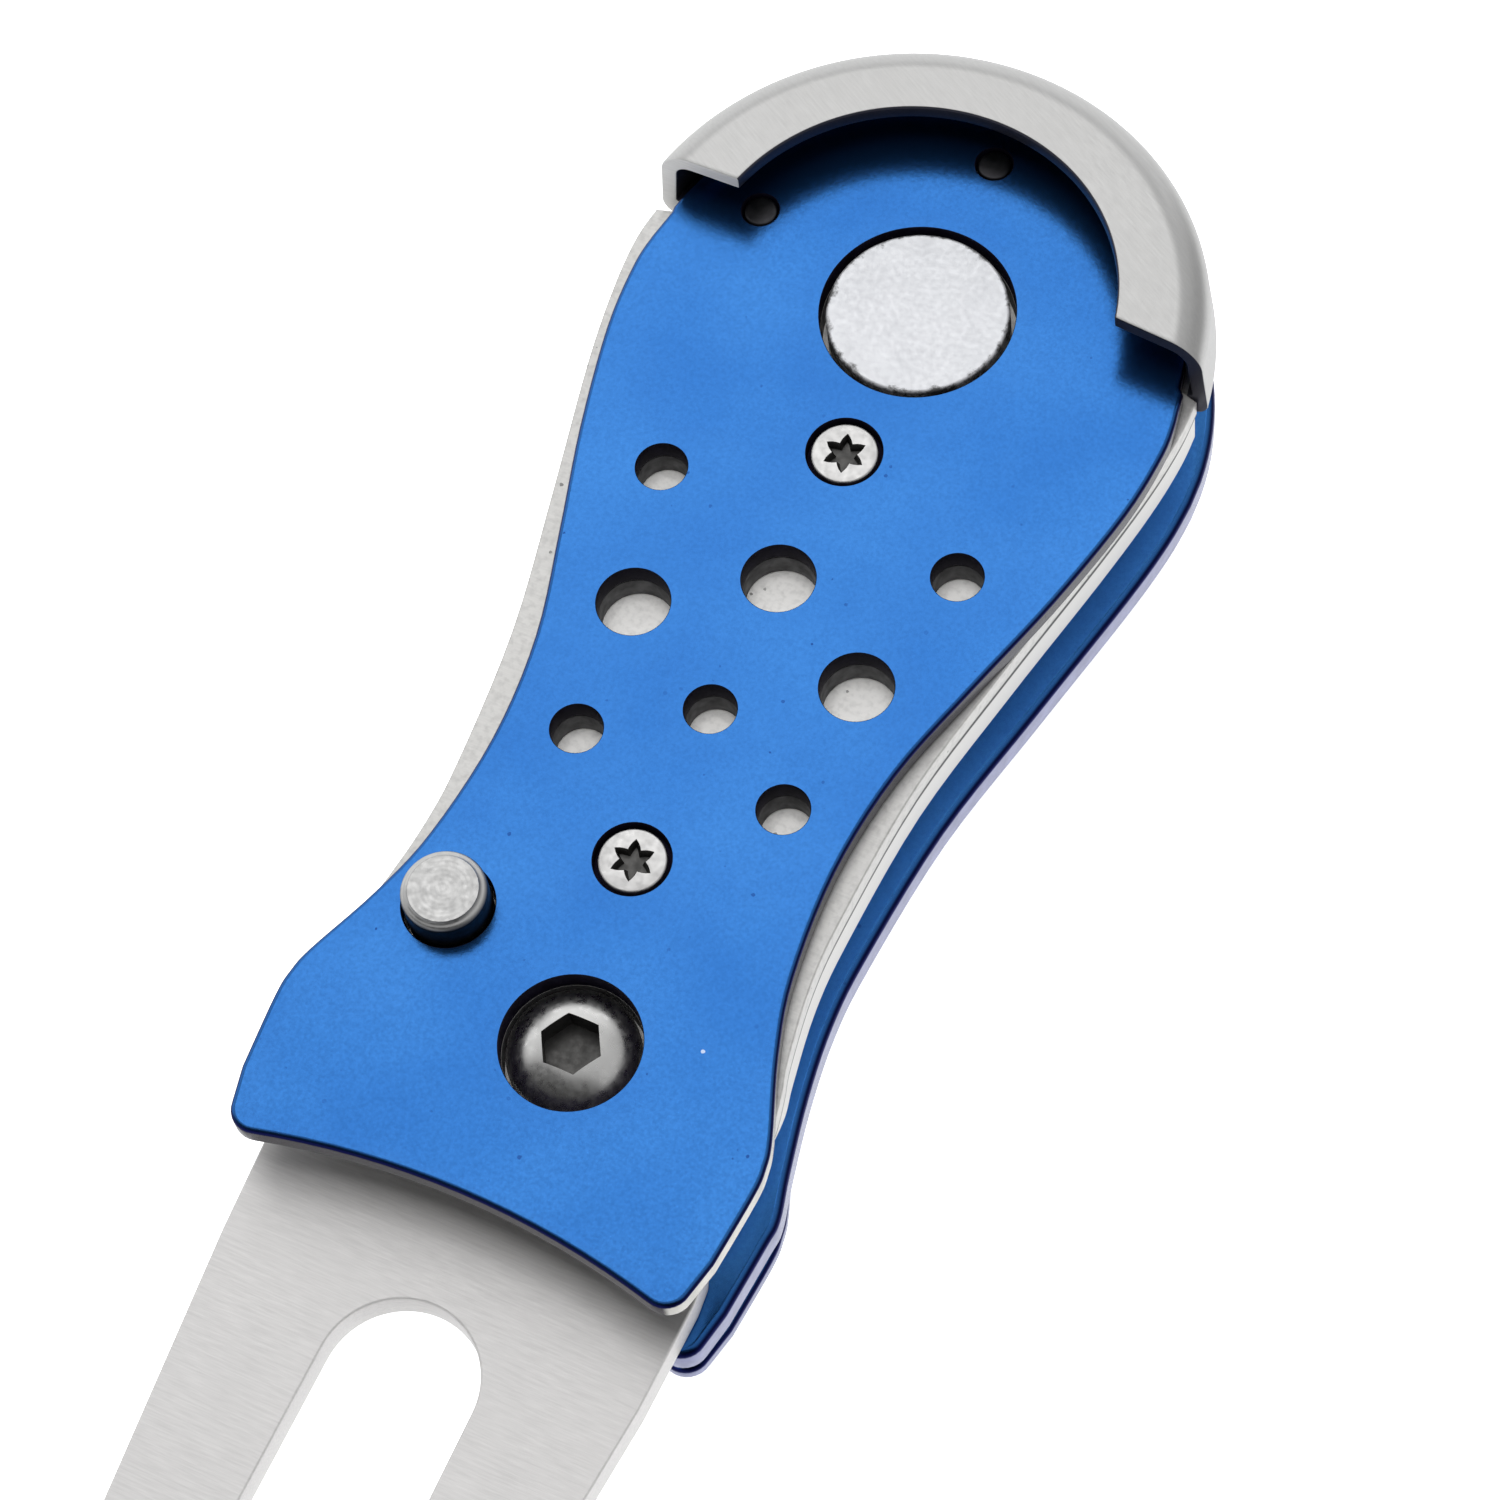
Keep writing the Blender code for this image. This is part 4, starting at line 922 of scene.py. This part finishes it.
def build_back_cover():
    low, high = BACK_COVER_Z
    layers = rounded(low, high, *BACK_COVER_EDGES, 6)
    node = solid("back_cover_skin", [(back_cover_outline(), layers)], blue_back)
    holes = face_holes(BACK_COVER_Z, BACK_MOUTH, 0.0)
    holes.append(hole(PIVOT, FLANGE_HOLE_RADIUS, RECESS_STEPS, low, high, FLANGE_MOUTH, 0.0))
    ledge = high - SCREW_LEDGE - OVER
    holes += [hole(c, SCREW_HOLE_RADIUS, HOLE_STEPS, low, ledge, BACK_SCREW_MOUTH) for c in SCREWS.values()]
    cut(node, solid("tool", holes, blue_hole))
    cut(node, solid("tool", screw_shank_holes(BACK_COVER_Z), blue_hole))
    place(smooth(node), "handle", "anodised_blue", "back_cover")


# ---------------------------------------------------------------- small parts
def build_magnet():
    low, high = FRAME_Z[0], FRONT_COVER_Z[1] - MAGNET_SUNK
    profile = [(0.0, high), *edge_arc(MAGNET_RADIUS, high, MAGNET_EDGE), (MAGNET_RADIUS, low), (0.0, low)]
    node = turned("magnet_disc", (0.0, 0.0), profile, MAGNET_STEPS, nickel)
    place(smooth(node), "handle", "nickel_plate", "marker_magnet")


def build_rivet(side):
    low, high = BACK_PLATE_Z[0] + RIVET_SUNK, FRONT_COVER_Z[1] - RIVET_SUNK
    profile = [(0.0, high), *edge_arc(RIVET_RADIUS, high, RIVET_EDGE), (RIVET_RADIUS, low), (0.0, low)]
    node = turned(f"rivet_pin_{side}", RIVETS[side], profile, POCKET_STEPS, pin_dark)
    place(smooth(node), "handle", "dark_steel", f"arch_rivet_{side}")


def star(centre):
    """Six-lobe recess with pointed lobes."""
    points = []
    for i in range(STAR_STEPS):
        degrees = 360.0 * i / STAR_STEPS
        lobe = 1.0 - abs((degrees / 60.0) % 1.0 - 0.5) * 2.0
        radius = STAR_VALLEY + STAR_LOBE * (1.0 - lobe) ** STAR_SHARPNESS
        points.append(polar(centre, radius, degrees + STAR_TURN_DEG))
    return points


def build_screw(name, centre, face_z, inward, ledge_z, end_z, node_name):
    """Flat-head screw. Inward is 1 where the screw points up and -1 where it points down."""
    head = face_z + inward * SCREW_SUNK
    top = [(r, head + inward * abs(z)) for r, z in edge_arc(SCREW_HEAD_RADIUS, 0.0, SCREW_EDGE)]
    profile = [(0.0, head), *top, (SCREW_HEAD_RADIUS, ledge_z), (SCREW_SHANK_RADIUS, ledge_z),
               (SCREW_SHANK_RADIUS, end_z - inward * SCREW_TIP), (SCREW_SHANK_RADIUS - SCREW_TIP, end_z),
               (0.0, end_z)]
    node = turned(name, centre, profile, BUTTON_STEPS, screw_head)
    levels = sorted((head + inward * depth, inset) for depth, inset in STAR_LEVELS)
    cut(node, solid("tool", [(star(centre), levels)], socket_shade))
    place(smooth(node, 28), "handle", "bright_steel", node_name)


def build_pivot_screw():
    rise = PIVOT_HEAD_TOP_Z - PIVOT_RIM_Z
    run = PIVOT_HEAD_RADIUS - PIVOT_FLAT_RADIUS
    radius = (run**2 + rise**2) / (2 * rise)
    middle = (PIVOT_FLAT_RADIUS, PIVOT_HEAD_TOP_Z - radius)
    reach = math.degrees(math.asin(min(1.0, run / radius)))
    dome = arc(middle, radius, 90.0, 90.0 - reach, 24)
    profile = [(0.0, PIVOT_HEAD_TOP_Z), *dome, (PIVOT_HEAD_RADIUS, FRAME_Z[0]),
               (PIVOT_SHANK_RADIUS, FRAME_Z[0]), (PIVOT_SHANK_RADIUS, PIVOT_SHANK_END_Z),
               (0.0, PIVOT_SHANK_END_Z)]
    node = turned("pivot_dome", PIVOT, profile, MAGNET_STEPS, dome_steel)
    corner = HEX_ACROSS_FLATS / math.sqrt(3.0)
    socket = pocket(PIVOT, corner, 6, PIVOT_HEAD_TOP_Z - HEX_DEPTH, PIVOT_HEAD_TOP_Z + OVER)
    cut(node, solid("tool", [socket], socket_shade))
    place(smooth(node, 25), "handle", "bright_steel", "pivot_screw")


def build_barrel():
    low, high = FLANGE_Z
    rim = [(r, low + low - z) for r, z in edge_arc(FLANGE_RADIUS, low, FLANGE_EDGE)]
    profile = [(0.0, BARREL_FLOOR_Z), (BARREL_BORE_RADIUS, BARREL_FLOOR_Z),
               (BARREL_BORE_RADIUS, BARREL_TOP_Z), (BARREL_RADIUS, BARREL_TOP_Z), (BARREL_RADIUS, high),
               (FLANGE_RADIUS, high), *reversed(rim), (0.0, low)]
    node = turned("pivot_flange", PIVOT, profile, RECESS_STEPS, cap_steel)
    place(smooth(node), "handle", "bright_steel", "pivot_barrel")


def build_button():
    low, high = CAP_Z
    rim = CAP_RADIUS - CAP_FLAT_RADIUS
    top = [(0.0, high), (CAP_FLAT_RADIUS - CAP_STEP_IN[0], high),
           (CAP_FLAT_RADIUS - CAP_STEP_IN[1], high - CAP_STEP_DOWN[0]),
           *arc((CAP_FLAT_RADIUS, high - CAP_STEP_DOWN[1] - rim), rim, 80.0, 0.0, 8)]
    profile = [*top, (CAP_RADIUS, low), (NECK_RADIUS, low), (NECK_RADIUS, COLLAR_Z[1]),
               (COLLAR_RADIUS, COLLAR_Z[1]), (COLLAR_RADIUS, COLLAR_Z[0]), (PILOT_RADIUS, COLLAR_Z[0]),
               (PILOT_RADIUS, PILOT_END_Z), (0.0, PILOT_END_Z)]
    node = turned("button_cap", BUTTON, profile, RECESS_STEPS, cap_steel)
    place(smooth(node), "button", "bright_steel", "lock_button")


# ---------------------------------------------------------------- fork
def prong(side):
    drop = BLADE_ROOT[1] - TIP_Y
    outer = (BLADE_ROOT[0] - BLADE_TAPER * drop, TIP_Y)
    inner = (SLOT_TIP_HALF, TIP_Y)
    tip = [*fillet(BLADE_ROOT, outer, inner, TIP_ROUND, 12),
           *fillet(outer, inner, (SLOT_ROOT_HALF, SLOT_CENTRE_Y), TIP_ROUND, 12)]
    return [(side * x, y) for x, y in tip]


def fork_outline():
    slot = arc((0.0, SLOT_CENTRE_Y), SLOT_ROOT_HALF, 180.0, 0.0, 40)
    left = [*SHOULDER_LEFT, (-BLADE_ROOT[0], BLADE_ROOT[1]), *prong(-1)]
    right = [*reversed(prong(1)), BLADE_ROOT, *SHOULDER_RIGHT]
    head = arc(PIVOT, TANG_HEAD_RADIUS, *TANG_HEAD_DEG, 8)
    return [*left, *slot, *right, *head]


def notch_track():
    """What is cut from the tang: all outside its rim, with a round lock seat at each end of the swing."""
    first, last = NOTCH_START_DEG, NOTCH_START_DEG + 180.0
    inner = arc(PIVOT, TANG_RADIUS, first, last, 60)
    far = arc(polar(PIVOT, NOTCH_SEAT, last), NOTCH_RADIUS, last + 180.0, last, 20)
    near = arc(polar(PIVOT, NOTCH_SEAT, first), NOTCH_RADIUS, first, first - 180.0, 20)
    outer = arc(PIVOT, NOTCH_REACH, last, first, 24)
    return [*inner, *far[1:], *outer, *near[:-1]]


def build_fork():
    low, high = BLADE_Z
    node = solid("fork_blade", [(fork_outline(), rounded(low, high, *BLADE_EDGES, 3))], blade_steel)
    track = (list(reversed(notch_track())), ((low - OVER, 0.0), (high + OVER, 0.0)))
    bore = pocket(PIVOT, TANG_BORE_RADIUS, BARREL_STEPS, low - OVER, high + OVER)
    seats = [pocket(PIVOT, WASHER_SEAT_RADIUS, BARREL_STEPS, high - WASHER_RECESS, high + OVER),
             pocket(PIVOT, WASHER_SEAT_RADIUS, BARREL_STEPS, low - OVER, low + WASHER_RECESS)]
    cut(node, solid("tool", [track], blade_steel))
    cut(node, solid("tool", [bore], blade_steel))
    cut(node, solid("tool", seats, blade_steel))
    place(smooth(node), "fork", "fork_steel", "fork")


build_front_cover()
build_frame()
build_liner()
build_back_plate()
build_back_cover()
build_magnet()
build_rivet("left")
build_rivet("top")
for spot, centre in SCREWS.items():
    build_screw(f"screw_front_{spot}", centre, FRONT_COVER_Z[1], -1,
                FRONT_COVER_Z[0] + SCREW_LEDGE + SCREW_HEAD_GAP, FRONT_SCREW_END_Z, f"front_screw_{spot}")
    build_screw(f"screw_back_{spot}", centre, BACK_COVER_Z[0], 1,
                BACK_COVER_Z[1] - SCREW_LEDGE - SCREW_HEAD_GAP, BACK_SCREW_END_Z, f"back_screw_{spot}")
build_pivot_screw()
build_barrel()
build_button()
build_fork()

# These nodes show their CAD shapes and take only a material.
for name, look in (("spine_spacer", liner_steel), ("washer_front", bronze), ("washer_back", bronze),
                   ("torsion_spring", spring_wire), ("button_spring", spring_wire)):
    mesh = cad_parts[name].data
    mesh.materials.clear()
    mesh.materials.append(look)

# ---------------------------------------------------------------- floor, light, camera, in metres
FLOOR_HALF = 4.0
FLOOR_Z = -0.0002
FLOOR_GREY = 0.9

WORLD_TOP = 0.45
WORLD_SIDE_LEFT = 0.95
WORLD_SIDE_RIGHT = 0.3
WORLD_BELOW = 1.05
WORLD_FRONT = 0.09
WORLD_FRONT_LOW = 0.6
WORLD_TINT = (0.98, 0.99, 1.0, 1.0)

AIM = (0.0, -0.025, 0.01)
CAMERA_LENS = 109.9
CAMERA_SENSOR = 36.0
CAMERA_CLIP = 0.01
CAMERA_AT = (0.0653131, -0.1158678, 0.2279709)
CAMERA_TURN = (0.45423754, 0.08606227, 0.44256585)


def build_floor():
    mesh = bpy.data.meshes.new("floor")
    corners = [(x * FLOOR_HALF, y * FLOOR_HALF, FLOOR_Z) for x, y in ((-1, -1), (1, -1), (1, 1), (-1, 1))]
    mesh.from_pydata(corners, [], [(0, 1, 2, 3)])
    pale = bpy.data.materials.new("floor_pale")
    pale.use_nodes = True
    shader = pale.node_tree.nodes["Principled BSDF"]
    shader.inputs["Base Color"].default_value = (FLOOR_GREY, FLOOR_GREY, FLOOR_GREY, 1)
    shader.inputs["Roughness"].default_value = 0.9
    shader.inputs["Emission Color"].default_value = (1, 1, 1, 1)
    shader.inputs["Emission Strength"].default_value = 1.0
    made = link("floor", mesh, pale)
    made.visible_glossy = False
    return made


floor = build_floor()


def world_light():
    """Surroundings: bright at the left and below, dimmer above and at the right, dark high in front."""
    world = bpy.data.worlds.new("studio")
    world.use_nodes = True
    bpy.context.scene.world = world
    tree = world.node_tree
    background = tree.nodes["Background"]
    coordinates = tree.nodes.new("ShaderNodeTexCoord")
    split = tree.nodes.new("ShaderNodeSeparateXYZ")
    tree.links.new(coordinates.outputs["Generated"], split.inputs["Vector"])

    def remap(axis, low, high, to_low, to_high):
        made = tree.nodes.new("ShaderNodeMapRange")
        made.interpolation_type = "SMOOTHSTEP"
        for key, number in zip(("From Min", "From Max", "To Min", "To Max"), (low, high, to_low, to_high)):
            made.inputs[key].default_value = number
        tree.links.new(split.outputs[axis], made.inputs["Value"])
        return made.outputs["Result"]

    def mixed(factor, one, two):
        made = tree.nodes.new("ShaderNodeMix")
        for socket, value in zip((made.inputs[0], made.inputs[2], made.inputs[3]), (factor, one, two)):
            if isinstance(value, float):
                socket.default_value = value
            else:
                tree.links.new(value, socket)
        return made.outputs[0]

    side = remap("X", 0.0, 0.5, WORLD_SIDE_LEFT, WORLD_SIDE_RIGHT)
    lit = mixed(remap("Z", 0.3, 0.75, 0.0, 1.0), side, WORLD_TOP)
    lit = mixed(remap("Z", -0.5, -0.1, 1.0, 0.0), lit, WORLD_BELOW)
    front = remap("Y", -0.38, -0.12, 1.0, 0.0)
    not_overhead = remap("Z", 0.86, 0.97, 1.0, 0.0)
    near_horizon = remap("Z", 0.2, 0.4, 1.0, 0.0)
    low_front = mixed(near_horizon, WORLD_FRONT, WORLD_FRONT_LOW)
    dimmed = mixed(front, 1.0, mixed(not_overhead, 1.0, low_front))
    strength = tree.nodes.new("ShaderNodeMath")
    strength.operation = "MULTIPLY"
    tree.links.new(lit, strength.inputs[0])
    tree.links.new(dimmed, strength.inputs[1])
    tree.links.new(strength.outputs["Value"], background.inputs["Strength"])
    background.inputs["Color"].default_value = WORLD_TINT


def area(name, place_at, size, power):
    """Square area light that points at the object."""
    light = bpy.data.lights.new(name, "AREA")
    light.shape = "RECTANGLE"
    light.size = size
    light.size_y = size
    light.energy = power
    made = bpy.data.objects.new(name, light)
    made.location = place_at
    made.rotation_euler = (Vector(AIM) - Vector(place_at)).to_track_quat("-Z", "Y").to_euler()
    bpy.context.scene.collection.objects.link(made)
    return made


world_light()
area("key_top", (-0.18, 0.24, 0.6), 0.4, 0.42)
overhead = area("overhead", (0.0, -0.02, 0.7), 0.3, 2.9)
overhead.visible_glossy = False

camera_data = bpy.data.cameras.new("camera")
camera_data.lens = CAMERA_LENS
camera_data.sensor_width = CAMERA_SENSOR
camera_data.clip_start = CAMERA_CLIP
camera = bpy.data.objects.new("camera", camera_data)
camera.location = CAMERA_AT
camera.rotation_euler = CAMERA_TURN
bpy.context.scene.collection.objects.link(camera)
bpy.context.scene.camera = camera
bpy.context.scene.view_settings.view_transform = "Standard"
